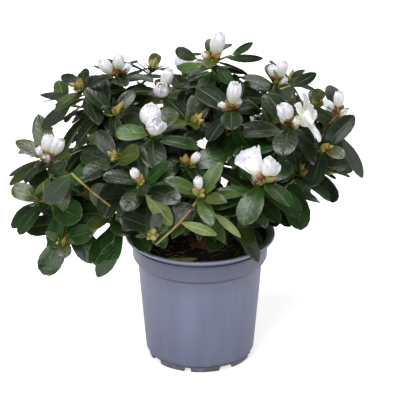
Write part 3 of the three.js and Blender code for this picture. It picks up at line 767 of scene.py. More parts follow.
class Joined:
    """Many small shapes gathered into one mesh, each with its place on it and its material slot."""

    def __init__(self):
        self.points, self.faces, self.places, self.slots = [], [], [], []
        self.count = 0

    def add(self, points, *kinds_of_face, places=None, slots=0):
        if places is None:
            places = np.zeros((len(points), 2))
        for faces in kinds_of_face:
            self.faces.append(faces + self.count)
            self.places.append(places[faces].reshape(-1, 2))
            self.slots.append(np.broadcast_to(slots, len(faces)))
        self.points.append(points)
        self.count += len(points)

    def piece(self, name, *materials):
        """One object in metres, with its place in its mesh."""
        sizes = np.concatenate([np.full(len(block), block.shape[1]) for block in self.faces])
        corners = np.concatenate([block.ravel() for block in self.faces])
        points = (np.concatenate(self.points) + [POT_AXIS_X, 0, 0]) * MM
        slots = np.concatenate(self.slots)
        places = np.concatenate(self.places)
        mesh = bpy.data.meshes.new(name)
        mesh.vertices.add(self.count)
        mesh.loops.add(len(corners))
        mesh.polygons.add(len(sizes))
        mesh.vertices.foreach_set("co", np.clip(points, *REACH_BOX).astype(np.float32).ravel())
        mesh.loops.foreach_set("vertex_index", corners.astype(np.int32))
        mesh.polygons.foreach_set("loop_start", (np.cumsum(sizes) - sizes).astype(np.int32))
        mesh.polygons.foreach_set("material_index", slots.astype(np.int32))
        layer = mesh.uv_layers.new(name="place")
        layer.data.foreach_set("uv", places.astype(np.float32).ravel())
        mesh.update(calc_edges=True)
        mesh.validate()
        return placed(mesh, name, PLANT_SHARP, *materials)


def placed(mesh, name, sharp, *materials):
    """An object of a mesh, smooth but for its edges sharper than an angle."""
    mesh.polygons.foreach_set("use_smooth", np.ones(len(mesh.polygons), bool))
    mesh.set_sharp_from_angle(angle=sharp * DEGREES)
    for material in materials:
        mesh.materials.append(material)
    made = bpy.data.objects.new(name, mesh)
    bpy.context.scene.collection.objects.link(made)
    return made


class Blade:
    """A thin closed blade over a grid: its upper side, its underside and a shared rim.

    Its places tell where each point lies: 0 to 1 across it, 0 to 1 along it.
    """

    def __init__(self, along, sides, wall):
        self.wall = wall
        self.grid = np.meshgrid(along, sides, indexing="ij")
        upper = np.arange(self.grid[0].size).reshape(self.grid[0].shape)
        under = upper.copy()
        inner = under[1:-1, 1:-1]
        inner[:] = upper.size + np.arange(inner.size).reshape(inner.shape)
        sheets = [
            np.stack([upper[:-1, :-1], upper[1:, :-1], upper[1:, 1:], upper[:-1, 1:]], axis=-1),
            np.stack([under[:-1, :-1], under[:-1, 1:], under[1:, 1:], under[1:, :-1]], axis=-1),
        ]
        self.faces = np.concatenate([sheet.reshape(-1, 4) for sheet in sheets])
        self.slots = np.repeat([0, 1], len(self.faces) // 2)
        across = (self.grid[1] + 1) / 2
        self.places = self.both_sides(*[np.stack([across, self.grid[0]], axis=-1)] * 2)

    def both_sides(self, upper, under):
        """The points of the upper side, then those of the underside within the shared rim."""
        size = upper.shape[-1]
        return np.concatenate([upper.reshape(-1, size), under[1:-1, 1:-1].reshape(-1, size)])

    def points(self, surface):
        """The points of the blade round a middle surface."""
        normals = np.cross(np.gradient(surface, axis=0), np.gradient(surface, axis=1))
        normals /= np.maximum(np.linalg.norm(normals, axis=-1, keepdims=True), 1e-9)
        upper = surface.copy()
        upper[1:-1, 1:-1] += normals[1:-1, 1:-1] * (self.wall / 2)
        return self.both_sides(upper, surface - normals * (self.wall / 2))


# ---------------------------------------------------------------- leaves
LEAF_ALONG = np.array([0, 0.07, 0.17, 0.32, 0.5, 0.68, 0.84, 0.95, 1])
LEAF_SIDES = np.array([-1, -0.5, 0, 0.5, 1])
LEAF_BLADE = Blade(LEAF_ALONG, LEAF_SIDES, 0.42)
LEAF_STALK = 0.07


def leaf_outline(slim):
    """Half a leaf's width at each station, from its stalk through its widest part to its tip."""
    blade = np.clip((LEAF_ALONG - LEAF_STALK * 0.6) / (1 - LEAF_STALK * 0.6), 0, 1)
    tip = mix(0.72, 0.48, min(max((slim - 0.34) / 0.14, 0), 1))
    outline = blade**0.8 * (1 - blade) ** tip
    return np.maximum(outline / outline.max(), 0.045)


def leaf_surface(leaf, draw):
    along, sides = LEAF_BLADE.grid
    slim = leaf["width"] / leaf["length"] / LEAF_FULLNESS
    half = leaf["width"] * 0.5 * mix(0.86, 0.98, draw())
    width = half * leaf_outline(slim)[:, None] * sides
    bend = mix(0.12, 0.3, draw())
    fold = mix(0.06, 0.26, draw())
    twist = mix(-0.28, 0.28, draw()) * along
    wave = mix(0.2, 0.7, draw()) * np.sin(along * mix(7, 11, draw()) + draw() * 6)
    wave = wave * np.abs(sides) * along * sides
    pillow = 0.07 * half * (1 - (2 * np.abs(sides) - 1) ** 2)
    lift = leaf["length"] * (0.12 * along - bend * along**2) + fold * np.abs(width)
    lift = lift + pillow + wave + width * np.sin(twist)
    aside = width * np.cos(twist)
    sway = leaf["length"] * mix(-0.05, 0.05, draw()) * along**2
    place = leaf["root"] + leaf["along"] * (leaf["length"] * along)[..., None]
    place = place + leaf["across"] * (aside + sway)[..., None] + leaf["face"] * lift[..., None]
    return place


def lay_leaves(leaves):
    """All leaves, gathered by tone."""
    tones = {}
    for number, leaf in enumerate(leaves):
        surface = leaf_surface(leaf, seeded(LEAF_SEEDS + number))
        if inside(surface, -LEAF_MARGIN):
            tones.setdefault(leaf["tone"], Joined()).add(
                LEAF_BLADE.points(surface), LEAF_BLADE.faces,
                places=LEAF_BLADE.places, slots=LEAF_BLADE.slots,
            )
    return tones


# ---------------------------------------------------------------- blossom and buds
PETAL_ALONG = np.array([0, 0.12, 0.28, 0.46, 0.64, 0.82, 0.93, 1])
PETAL_OUTLINE = [0.24, 0.42, 0.72, 0.94, 1, 0.93, 0.76, 0.5]
PETAL = Blade(PETAL_ALONG, [-1, -0.8, -0.6, -0.4, -0.2, 0, 0.2, 0.4, 0.6, 0.8, 1], 0.3)
SCALE = Blade([0, 0.2, 0.45, 0.72, 1], [-1, -0.45, 0.45, 1], 0.3)

# How far out a petal or scale stands from its flower's axis, as shares of the flower's girth, at
# even steps from its foot to its tip.
HEART = (0.2, 0.6, 0.86, 0.94, 0.84, 0.56, 0.1)
EGG = (0.18, 0.6, 0.88, 1.0, 1.0, 0.88, 0.58)
LOOSE = (0.18, 0.58, 0.86, 1.0, 1.05, 1.0, 0.86)
FLARE = (0.18, 0.5, 0.78, 0.98, 1.14, 1.28, 1.46)
SPINDLE = (0.4, 0.86, 1.0, 0.94, 0.74, 0.44, 0.1)
CLASP = (0.5, 0.96, 1.06, 1.08, 1.06, 1.04, 1.06)

# Rings of petals of each kind of flower, from its heart outwards: profile, petals, girth, height,
# half of the turn that one petal takes, and how deep its edge is waved in mm.
PETAL_RINGS = {
    "tip": [(HEART, 3, 0.8, 1.0, 1.3, 0.3), (EGG, 3, 0.98, 0.94, 1.25, 0.5)],
    "full": [(HEART, 3, 0.74, 1.0, 1.3, 0.3), (EGG, 3, 0.9, 0.97, 1.25, 0.4),
             (EGG, 3, 1.04, 0.88, 1.2, 0.5)],
    "cup": [(HEART, 3, 0.66, 1.0, 1.3, 0.3), (EGG, 3, 0.88, 0.98, 1.2, 0.45),
            (LOOSE, 4, 1.06, 0.9, 0.95, 0.6)],
    "fan": [(HEART, 3, 0.56, 0.9, 1.3, 0.4), (LOOSE, 4, 0.82, 0.98, 1.05, 0.7),
            (FLARE, 5, 0.96, 1.0, 0.82, 0.9)],
    "open": [(HEART, 3, 0.9, 0.5, 1.3, 0.3), (LOOSE, 4, 1.3, 0.56, 1.0, 0.6)],
}
FULL_BELOW = 24
FAN_ABOVE = 26.5
PETAL_ROUNDING = 0.13
SCALE_ROUNDING = 0.4
STALK_LENGTH = 5.5
CALYX_SCALES = 8
RUSTY_SHARE = 0.7
BLOOM_RISE = 0.8
OPEN_BLOOM_RISE = 0.25


def wrapped(blade, bloom, turn, spread, profile, height, frill, draw, rounding):
    """A blade wrapped round its flower's axis, overlapping the next, its corners drawn down."""
    along, sides = blade.grid
    steps = np.linspace(0, 1, len(profile))
    radius = np.interp(along, steps, np.array(profile) * bloom["girth"])
    waves, phase, curl = mix(4, 7, draw()), draw() * 6, mix(-0.12, 0.3, draw())
    edge = frill * along**3
    pleats = 0.32 * frill * np.sqrt(along) * np.sin(sides * waves * 1.8 + phase * 2 + along * 2)
    radius = radius * (1 + 0.07 * sides) + edge * np.sin(sides * waves + phase) + pleats
    radius = radius + frill * curl * 3 * along**5
    lift = height * along * (1 - rounding * along * np.abs(sides) ** 3.4)
    lift = lift + 1.1 * edge * np.sin(sides * waves * 1.3 + phase * 2)
    angle = turn * DEGREES + sides * spread
    u, v = across_axis(bloom["axis"])
    out = u * np.cos(angle)[..., None] + v * np.sin(angle)[..., None]
    return bloom["root"] + bloom["axis"] * lift[..., None] + out * radius[..., None]


def spread_petal(bloom, turn, length, width, rise, draw):
    """A petal of an open flower: a broad oval that arches outwards, with a waved edge."""
    along, sides = PETAL.grid
    out = around(bloom["axis"], turn)
    ahead = unit(out * math.cos(rise * DEGREES) + bloom["axis"] * math.sin(rise * DEGREES))
    across = unit(np.cross(bloom["axis"], ahead))
    face = np.cross(ahead, across)
    outline = np.interp(along, PETAL_ALONG, PETAL_OUTLINE)
    phase = draw() * 6
    reach = length * along * (1 - 0.07 * np.abs(sides) ** 2.4)
    lift = length * (0.26 * along - mix(0.24, 0.4, draw()) * along**2) + 0.14 * width * sides**2
    lift = lift + 0.8 * along**2 * np.sin(sides * 5 + phase)
    place = bloom["root"] + bloom["axis"] * 4 + ahead * reach[..., None]
    return place + across * (sides * outline * width / 2)[..., None] + face * lift[..., None]


def lay_blade(joined, blade, surface):
    if inside(surface, PETAL_OVERREACH):
        joined.add(blade.points(surface), blade.faces, places=blade.places)


def lay_petals(petals, kind, bloom, girth, draw):
    """The rings of petals that close a flower, and the spread petals of an open one."""
    length = bloom["length"]
    for profile, count, fullness, share, spread, frill in PETAL_RINGS[kind]:
        ring = {**bloom, "girth": girth * fullness}
        start = draw() * 360
        for index in range(count):
            turn = start + index * 360 / count + mix(-8, 8, draw())
            height = (length - 4) * share * mix(0.92, 1.02, draw())
            lay_blade(petals, PETAL, wrapped(
                PETAL, ring, turn, spread, profile, height, frill, draw, PETAL_ROUNDING
            ))
    for index in range(6 if kind == "open" else 0):
        size = length * mix(0.78, 0.98, draw())
        turn = index * 60 + mix(-10, 10, draw())
        rise = mix(12, 40, draw())
        lay_blade(petals, PETAL, spread_petal(bloom, turn, size, size * 0.66, rise, draw))


def lay_bloom(petals, scales, green, stalks, bloom, draw):
    """A flower on its short stalk, turned up to the light: petals, then rusty and green scales."""
    length, kind, foot = bloom["length"], bloom["kind"], bloom["root"]
    girth = length * BLOOM_GIRTH[kind] * 0.88
    if kind == "cup":
        kind = "full" if length < FULL_BELOW else "fan" if length > FAN_ABOVE else "cup"
    root = foot + bloom["axis"] * STALK_LENGTH
    rise = OPEN_BLOOM_RISE if kind == "open" else BLOOM_RISE * (1.5 - bloom["axis"][2])
    axis = unit(bloom["axis"] + UP * rise)
    bend = foot + bloom["axis"] * STALK_LENGTH * 0.55
    lay_limb(stalks, [foot, bend, root, root + axis * 1.5], [0.8, 0.75, 0.9, 1.2], 6, 0, 0)
    bloom = {**bloom, "root": root, "axis": axis}
    lay_petals(petals, kind, bloom, girth, draw)
    calyx = {**bloom, "girth": max(girth * 0.68, 3.2), "root": root - axis * 1.4}
    for index in range(CALYX_SCALES):
        reach = min(length * 0.48, 10) * mix(0.4, 1.15, draw())
        turn = index * 360 / CALYX_SCALES + mix(-20, 20, draw())
        flare = mix(0.92, 1.16, draw())
        clasp = [radius * mix(1, flare, step / 6) for step, radius in enumerate(CLASP)]
        surface = wrapped(SCALE, calyx, turn, 0.55, clasp, reach, 0.15, draw, SCALE_ROUNDING)
        lay_blade(scales if draw() < RUSTY_SHARE else green, SCALE, surface)


def lay_bud(joined, bud, draw):
    """A bud: a spindle of three overlapping scales, in three looser ones."""
    heart = {**bud, "girth": bud["length"] * mix(0.2, 0.26, draw())}
    start = draw() * 360
    for index in range(3):
        turn = start + index * 120
        lay_blade(joined, SCALE, wrapped(
            SCALE, heart, turn, 1.15, SPINDLE, bud["length"], 0, draw, PETAL_ROUNDING
        ))
    sheath = [radius * 1.16 for radius in SPINDLE]
    for index in range(3):
        turn = start + 60 + index * 120 + mix(-12, 12, draw())
        reach = bud["length"] * mix(0.55, 0.88, draw())
        lay_blade(joined, SCALE, wrapped(
            SCALE, heart, turn, 0.9, sheath, reach, 0, draw, SCALE_ROUNDING
        ))


# ---------------------------------------------------------------- limbs
BOUGH_STEP = 2.2
BOUGH_SEAT = 2.5
BOUGH_RELIEF = 0.18
SHOOT_STEP = 3
SHOOT_RELIEF = 0.14
SHOOT_END_RADIUS = 0.9


def lay_limb(joined, points, radii, sides, relief, seed):
    """A round limb through points, with bark relief, closed at both ends."""
    points = np.asarray(points)
    tangents = np.gradient(points, axis=0)
    tangents /= np.linalg.norm(tangents, axis=1, keepdims=True)
    level = across_axis(tangents[0])[0]
    turns = (np.arange(sides) * 2 * math.pi / sides)[:, None]
    rings = []
    for point, tangent, radius in zip(points, tangents, radii):
        level = unit(level - tangent * np.dot(level, tangent))
        out = np.cos(turns) * level + np.sin(turns) * np.cross(tangent, level)
        bumps = np.array([noise.noise(Vector(point * 0.22 + way * 1.7 + seed)) for way in out])
        rings.append(point + out * (radius * (1 + relief * bumps))[:, None])
    grid = np.arange(len(points) * sides).reshape(-1, sides)
    following = np.roll(grid, -1, axis=1)
    walls = np.stack([grid[:-1], following[:-1], following[1:], grid[1:]], axis=-1)
    foot = np.stack([np.full(sides, grid.size), following[0], grid[0]], axis=-1)
    top = np.stack([np.full(sides, grid.size + 1), grid[-1], following[-1]], axis=-1)
    places = np.meshgrid(np.arange(sides) / sides, np.linspace(0, 1, len(points)))
    places = np.stack(places, axis=-1).reshape(-1, 2)
    joined.add(
        np.concatenate([*rings, points[[0, -1]]]), walls.reshape(-1, 4),
        np.concatenate([foot, top]), places=np.concatenate([places, [[0, 0], [0, 1]]]),
    )


def lay_stem(joined):
    heights = np.concatenate([np.linspace(-2, 10, 13), np.linspace(11.5, STEM_HEIGHT - 1, 14)])
    points = [UP * (SOIL_TOP + GAP + height) for height in heights]
    radii = [stem_radius(max(height, 0)) for height in heights]
    lay_limb(joined, points, radii, 28, 0.16, 3)


def limb_run(curve, start, end, start_radius, end_radius, step):
    count = max(int((end - start) / step), 3)
    distances = np.linspace(start, end, count)
    points = curve.at(np.interp(distances, curve.lengths, curve.shares))
    return points, np.linspace(start_radius, end_radius, count)


def lay_shoot(shoots, curve, start, start_radius, end_radius, sides, seed):
    """A young shoot along a curve, from a place on it to its end."""
    points, radii = limb_run(curve, start, curve.length, start_radius, end_radius, SHOOT_STEP)
    lay_limb(shoots, points, radii, sides, SHOOT_RELIEF, seed)


def lay_wood(boughs, shoots, masses):
    """The stem, its boughs, and the young shoots that go on from them."""
    lay_stem(boughs)
    for number, mass in enumerate(masses):
        curve = mass["curve"]
        entry = curve.length - MASS_STEM
        points, radii = limb_run(curve, 0, entry, BOUGH_RADIUS, BOUGH_TIP_RADIUS, BOUGH_STEP)
        seat = points[0] + unit(points[0] - points[1]) * BOUGH_SEAT
        radii = [BOUGH_RADIUS, *radii]
        lay_limb(boughs, np.vstack([seat, points]), radii, 12, BOUGH_RELIEF, number * 7)
        lay_shoot(shoots, curve, entry, TWIG_RADIUS, SHOOT_RADIUS, 9, number * 9)
        for twig in mass["twigs"]:
            lay_shoot(shoots, twig["curve"], 0, SIDE_TWIG_RADIUS, SHOOT_RADIUS, 8, number * 11)


# ---------------------------------------------------------------- finishes
def linear(hex_colour):
    """An sRGB hex colour as the linear values that a shader reads."""
    values = [int(hex_colour[i:i + 2], 16) / 255 for i in (1, 3, 5)]
    return (*[v / 12.92 if v <= 0.04045 else ((v + 0.055) / 1.055) ** 2.4 for v in values], 1)


def add(tree, kind, *inputs, named=None, stops=(), **settings):
    """One node with its settings. Inputs, in order or by name, are nodes to link or values."""
    node = tree.nodes.new("ShaderNode" + kind)
    for name, value in settings.items():
        setattr(node, name, value)
    for number, (place, colour) in enumerate(stops):
        elements = node.color_ramp.elements
        element = elements[number] if number < 2 else elements.new(place)
        element.position, element.color = place, linear(colour)
    open_inputs = [socket for socket in node.inputs if socket.enabled]
    by_name = [(node.inputs[name], value) for name, value in (named or {}).items()]
    for socket, value in [*zip(open_inputs, inputs), *by_name]:
        if isinstance(value, bpy.types.Node):
            value = next(output for output in value.outputs if output.enabled)
        if isinstance(value, bpy.types.NodeSocket):
            tree.links.new(value, socket)
        else:
            socket.default_value = linear(value) if isinstance(value, str) else value
    return node


def per(period_mm):
    """The scale that repeats a pattern once for each such length."""
    return 1 / (period_mm * MM)


def started(name):
    """A new material, its empty tree, and the place of a point on its object."""
    material = bpy.data.materials.new(name)
    material.use_nodes = True
    tree = material.node_tree
    tree.nodes.clear()
    return material, tree, add(tree, "TexCoord").outputs["Object"]


def surfaced(material, depth_mm, height, **sockets):
    """The material closed with one shader, and relief of a real depth from a 0 to 1 height."""
    tree = material.node_tree
    named = {name.replace("_", " "): value for name, value in sockets.items()}
    named["Normal"] = add(tree, "Bump", named={"Height": height, "Distance": depth_mm * MM})
    add(tree, "OutputMaterial", add(tree, "BsdfPrincipled", named=named))
    return material


SMOOTH = {"interpolation_type": "SMOOTHSTEP"}
COLOUR = {"data_type": "RGBA"}

# Heights where painted shade darkens the pot's recesses, and how far it reaches from each: over and
# under the bead, under the collar and over the foot ring.
PAINTED_SHADE_LINES = (
    (BEAD_Z + 1.5, 0.9), (BEAD_Z - 1.4, 0.8), (COLLAR_FOOT - 2.6, 1.7), (FOOT_HEIGHT - 1.2, 1.3),
)

# Where painted shade darkens the pot's wall towards its collar, as if in the shadow of the crown.
SHADED_FROM, SHADED_TO = 68, 104


def moulded_polypropylene():
    """Satin blue-grey polypropylene, streaked by the melt as it was moulded.

    Its lip top carries a painted highlight, painted shade darkens its recesses and its wall towards
    the collar, and peat stains its feet.
    """
    material, tree, place = started("moulded_polypropylene")
    flow = add(tree, "Mapping", place, named={"Scale": (1, 1, 0.1)})
    melt = add(tree, "TexNoise", flow, per(15), 3.0, 0.5)
    grain = add(tree, "TexNoise", place, per(1.3), 2.0, 0.5)
    scuff = add(tree, "TexNoise", place, per(5), 6.0, 0.7)
    height = add(tree, "SeparateXYZ", place).outputs["Z"]
    body = add(tree, "ValToRGB", melt, stops=[(0.3, "#555970"), (0.7, "#61657e")])
    # Painted shade: the wall is painted darker towards its collar, as in the crown's shadow.
    rise = add(tree, "MapRange", height, SHADED_FROM * MM, SHADED_TO * MM, 0.0, 0.55, **SMOOTH)
    body = add(tree, "Mix", rise, body, "#3a3c4b", **COLOUR)
    # Painted light: the top of the lip is painted paler, as if lit.
    painted_rim_light = add(tree, "MapRange", height, (RIM_TOP - 3.2) * MM, (RIM_TOP - 1.2) * MM, 0.0, 1.0)
    body = add(tree, "Mix", painted_rim_light, body, "#8f92a8", **COLOUR)
    # Painted shade: dark blue-grey lines at these heights, where the recesses would fall into
    # shade.
    painted_shade = None
    for level, reach in PAINTED_SHADE_LINES:
        apart = add(tree, "Math", add(tree, "Math", height, level * MM, operation="SUBTRACT"),
                    operation="ABSOLUTE")
        line = add(tree, "MapRange", apart, reach * MM, reach * MM * 0.3, 0.0, 0.7, **SMOOTH)
        painted_shade = line if painted_shade is None else add(tree, "Math", painted_shade, line, operation="MAXIMUM")
    body = add(tree, "Mix", painted_shade, body, "#2b2c38", **COLOUR)
    low = add(tree, "MapRange", height, (FOOT_HEIGHT + 4) * MM, 0.0, 0.0, 1.0)
    stain = add(tree, "MapRange", scuff, 0.42, 0.56, 0.0, 1.0, **SMOOTH)
    stained = add(tree, "Math", low, stain, operation="MULTIPLY")
    body = add(tree, "Mix", stained, body, "#4a3a35", **COLOUR)
    return surfaced(
        material, 0.06, grain, Base_Color=body, IOR=1.42,
        Roughness=add(tree, "MapRange", melt, 0.3, 0.75, 0.44, 0.54),
    )


def damp_peat():
    """Damp sieved peat: near black and crumbly, with paler dry crumbs."""
    material, tree, place = started("damp_peat")
    crumbs = add(tree, "TexNoise", place, per(2.6), 6.0, 0.7)
    patches = add(tree, "TexNoise", place, per(14), 3.0, 0.5)
    soil = add(tree, "ValToRGB", crumbs, stops=[
        (0.3, "#080504"), (0.5, "#15100d"), (0.64, "#261a14"), (0.78, "#4a3526"),
    ])
    damp = add(tree, "MapRange", patches, 0.45, 0.7, 0.0, 0.6, **SMOOTH)
    soil = add(tree, "Mix", damp, soil, "#0d0806", **COLOUR)
    return surfaced(material, 1.2, crumbs, Base_Color=soil, Roughness=0.9)


def split_wood(name, dark, light):
    """Broken bark and root fibre: dull, split along its grain."""
    material, tree, place = started(name)
    run = add(tree, "Mapping", place, named={"Scale": (1, 0.3, 1)})
    grain = add(tree, "TexNoise", run, per(1.4), 5.0, 0.6)
    wood = add(tree, "ValToRGB", grain, stops=[(0.3, dark), (0.7, light)])
    return surfaced(material, 0.3, grain, Base_Color=wood, Roughness=0.85)


def living_bark(name, dark, middle, light, flake, roughness, patch_mm):
    """Living bark: patches from shade to shade along the shoot, under fine darker flakes."""
    material, tree, place = started(name)
    patches = add(tree, "TexNoise", place, per(patch_mm), 3.0, 0.5)
    flakes = add(tree, "TexNoise", place, per(1.5), 5.0, 0.65)
    wood = add(tree, "ValToRGB", patches, stops=[(0.32, dark), (0.5, middle), (0.68, light)])
    flaked = add(tree, "MapRange", flakes, 0.52, 0.68, 0.0, 0.6, **SMOOTH)
    wood = add(tree, "Mix", flaked, wood, flake, **COLOUR)
    return surfaced(material, 0.35, flakes, Base_Color=wood, Roughness=roughness)


VEIN_PAIRS = 7.0

# The upper sides of the leaves of each tone (deep, light, foot, rim), and their backs (deep,
# light, rib).
LEAF_TONES = {
    "dark": (("#0c1608", "#18280f", "#304e18", "#6c7250"), ("#4f5e36", "#6a7848", "#98a26c")),
    "green": (("#10240a", "#1e3c12", "#38621c", "#68783f"), ("#546834", "#72824a", "#9caa6c")),
    "olive": (("#222d0f", "#3a441a", "#4c6824", "#7c8052"), ("#525e30", "#6c7842", "#98a266")),
    "fresh": (("#2a3d16", "#3e5424", "#56742f", "#848f56"), ("#7a9248", "#9aae64", "#bcc886")),
}


def blade_place(tree):
    """A point's place on its blade, then its distance from the middle and along, each 0 to 1."""
    blade = add(tree, "UVMap", uv_map="place")
    across, along = add(tree, "SeparateXYZ", blade).outputs[:2]
    aside = add(tree, "Math", across, 0.5, operation="SUBTRACT")
    aside = add(tree, "Math", aside, operation="ABSOLUTE")
    return blade, add(tree, "Math", aside, 2.0, operation="MULTIPLY"), along


def vein_comb(tree, aside, along):
    """How near a point is to a side vein, from 0 on it to 0.5 between two. The veins slant."""
    run = add(tree, "Math", along, VEIN_PAIRS, operation="MULTIPLY")
    slant = add(tree, "Math", aside, -1.5, run, operation="MULTIPLY_ADD")
    share = add(tree, "Math", slant, operation="FRACT")
    apart = add(tree, "Math", share, 0.5, operation="SUBTRACT")
    return add(tree, "Math", apart, operation="ABSOLUTE")


def waxy_leaf(name, deep, light, foot, rim):
    """The waxy upper side of an evergreen leaf: dark and satin, green at its foot, faintly quilted
    between its veins, with a thin pale rim."""
    material, tree, place = started(name)
    _, aside, along = blade_place(tree)
    patches = add(tree, "TexNoise", place, per(16), 3.0, 0.55)
    mottle = add(tree, "TexNoise", place, per(3.2), 3.0, 0.55)
    comb = vein_comb(tree, aside, along)
    midrib = add(tree, "MapRange", aside, 0.08, 0.02, **SMOOTH)
    blade = add(tree, "ValToRGB", patches, stops=[(0.35, deep), (0.65, light)])
    footed = add(tree, "MapRange", along, 0.4, 0.0, 0.0, 0.8, **SMOOTH)
    blade = add(tree, "Mix", footed, blade, foot, **COLOUR)
    ribbed = add(tree, "MapRange", along, 0.9, 0.1, 0.04, 0.5)
    ribbed = add(tree, "Math", midrib, ribbed, operation="MULTIPLY")
    blade = add(tree, "Mix", ribbed, blade, rim, **COLOUR)
    edged = add(tree, "MapRange", aside, 0.92, 1.0, 0.0, 0.3, **SMOOTH)
    blade = add(tree, "Mix", edged, blade, rim, **COLOUR)
    quilt = add(tree, "MapRange", comb, 0.0, 0.4, 0.0, 0.07, **SMOOTH)
    for layer, share in ((patches, 1.5), (mottle, 0.35), (midrib, -0.4)):
        quilt = add(tree, "Math", layer, share, quilt, operation="MULTIPLY_ADD")
    return surfaced(
        material, 0.55, quilt, Base_Color=blade, IOR=1.4,
        Roughness=add(tree, "MapRange", mottle, 0.3, 0.7, 0.26, 0.42),
    )


def dull_leaf_back(name, deep, light, rib):
    """The dull underside of the same leaf: paler and netted, with a raised midrib."""
    material, tree, place = started(name)
    _, aside, along = blade_place(tree)
    patches = add(tree, "TexNoise", place, per(7), 5.0, 0.6)
    midrib = add(tree, "MapRange", aside, 0.11, 0.03, **SMOOTH)
    side_vein = add(tree, "MapRange", vein_comb(tree, aside, along), 0.07, 0.0, 0.0, 0.4)
    vein = add(tree, "Math", side_vein, midrib, operation="MAXIMUM")
    blade = add(tree, "ValToRGB", patches, stops=[(0.35, deep), (0.65, light)])
    shown_vein = add(tree, "Math", vein, 0.75, operation="MULTIPLY")
    blade = add(tree, "Mix", shown_vein, blade, rib, **COLOUR)
    return surfaced(material, 0.3, vein, Base_Color=blade, Roughness=0.6)


def crepe_petal():
    """Thin white petals: lavender-grey painted shade in their creases, yellow-green at the foot,
    soft and matt, with a faint painted glow.
    """
    material, tree, place = started("crepe_petal")
    blade, _, along = blade_place(tree)
    run = add(tree, "Mapping", blade, named={"Scale": (9, 1.6, 1)})
    folds = add(tree, "TexNoise", run, 1.0, 3.0, 0.5)
    shade = add(tree, "TexNoise", place, per(5), 3.0, 0.5)
    petal = add(tree, "ValToRGB", shade, stops=[(0.35, "#f4f3f7"), (0.7, "#eceaf2")])
    # Painted shade: the creases of the folds are painted lavender-grey.
    painted_crease_shade = add(tree, "MapRange", folds, 0.48, 0.62, 0.0, 0.55, **SMOOTH)
    petal = add(tree, "Mix", painted_crease_shade, petal, "#cfcbdc", **COLOUR)
    footed = add(tree, "MapRange", along, 0.8, 0.1, 0.0, 0.9, **SMOOTH)
    petal = add(tree, "Mix", footed, petal, "#dcdb9e", **COLOUR)
    return surfaced(
        material, 0.45, folds, Base_Color=petal, Roughness=0.6, Subsurface_Weight=0.8,
        # Painted light: the petals glow faintly in their own colour, though they are no lamp.
        Subsurface_Radius=(1, 0.97, 0.9), Subsurface_Scale=0.006, Emission_Color=petal,
        Emission_Strength=0.05,
    )


def bud_scale(name, foot, middle, tip):
    """Papery scales of a bud, coloured from foot to tip, with a slight shine."""
    material, tree, place = started(name)
    _, aside, along = blade_place(tree)
    patches = add(tree, "TexNoise", place, per(3), 4.0, 0.6)
    shift = add(tree, "Math", patches, 0.5, operation="SUBTRACT")
    shift = add(tree, "Math", shift, 0.5, along, operation="MULTIPLY_ADD")
    scale = add(tree, "ValToRGB", shift, stops=[(0.1, foot), (0.65, middle), (1, tip)])
    edged = add(tree, "MapRange", aside, 0.8, 1.0, 0.0, 0.5, **SMOOTH)
    scale = add(tree, "Mix", edged, scale, foot, **COLOUR)
    return surfaced(material, 0.25, patches, Base_Color=scale, Roughness=0.45)


# ---------------------------------------------------------------- pot
# The worn crest of the lip, a little under the solid's.
LIP_TOP = 114.6

POT_SHARP = 35


def arc(centre, radius, start, end, steps):
    """Profile points on an arc, from (out, up) of its centre, by angles in degrees."""
    angles = np.radians(np.linspace(start, end, steps + 1))
    return [(centre[0] + radius * math.cos(a), centre[1] + radius * math.sin(a)) for a in angles]


def inner_radius(z):
    share = (z - FOOT_HEIGHT) / (COLLAR_FOOT - FOOT_HEIGHT)
    return mix(BODY_FOOT_RADIUS, BODY_TOP_RADIUS, share) - POT_WALL


def pot_profile():
    bead = arc((COLLAR_TOP_RADIUS - 0.1, BEAD_Z), 1.0, -90, 90, 8)
    lip_low = arc((RIM_RADIUS - 0.7, RIM_EDGE + 0.7), 0.7, -90, 0, 4)
    lip_high = arc((RIM_RADIUS - 1.1, LIP_TOP - 1.1), 1.1, 0, 90, 6)
    lip_in = arc((RIM_RADIUS - 2, LIP_TOP - 1.1), 1.1, 90, 160, 5)
    ledge = arc((COLLAR_FOOT_RADIUS - 1.0, COLLAR_FOOT + 1.0), 1.0, -80, 0, 4)
    foot_edge = arc((BODY_FOOT_RADIUS - 1.7, FOOT_HEIGHT + 1.7), 1.7, -80, 0, 5)
    return [
        (0, FOOT_HEIGHT - BASE_PLATE),
        (FOOT_RADIUS - FOOT_WALL, FOOT_HEIGHT - BASE_PLATE),
        (FOOT_RADIUS - FOOT_WALL + 0.3, 0.2),
        (FOOT_RADIUS - FOOT_WALL + 0.5, 0),
        (FOOT_RADIUS - 0.5, 0),
        (FOOT_RADIUS - 0.1, 0.4),
        (FOOT_RADIUS + 0.3, FOOT_HEIGHT - 0.6),
        *foot_edge,
        (BODY_TOP_RADIUS - 0.05, COLLAR_FOOT - 1.2),
        (BODY_TOP_RADIUS + 0.4, COLLAR_FOOT - 0.2),
        *ledge,
        *bead,
        (COLLAR_TOP_RADIUS, BEAD_Z + 1.4),
        (COLLAR_TOP_RADIUS + 0.1, RIM_EDGE - 0.3),
        *lip_low,
        *lip_high,
        *lip_in,
        (COLLAR_TOP_RADIUS - POT_WALL, RIM_EDGE + 0.2),
        (COLLAR_FOOT_RADIUS - POT_WALL, COLLAR_FOOT + 3),
        (BODY_TOP_RADIUS - POT_WALL, COLLAR_FOOT),
        (inner_radius(FOOT_HEIGHT) - 0.6, FOOT_HEIGHT),
        (0, FOOT_HEIGHT),
    ]


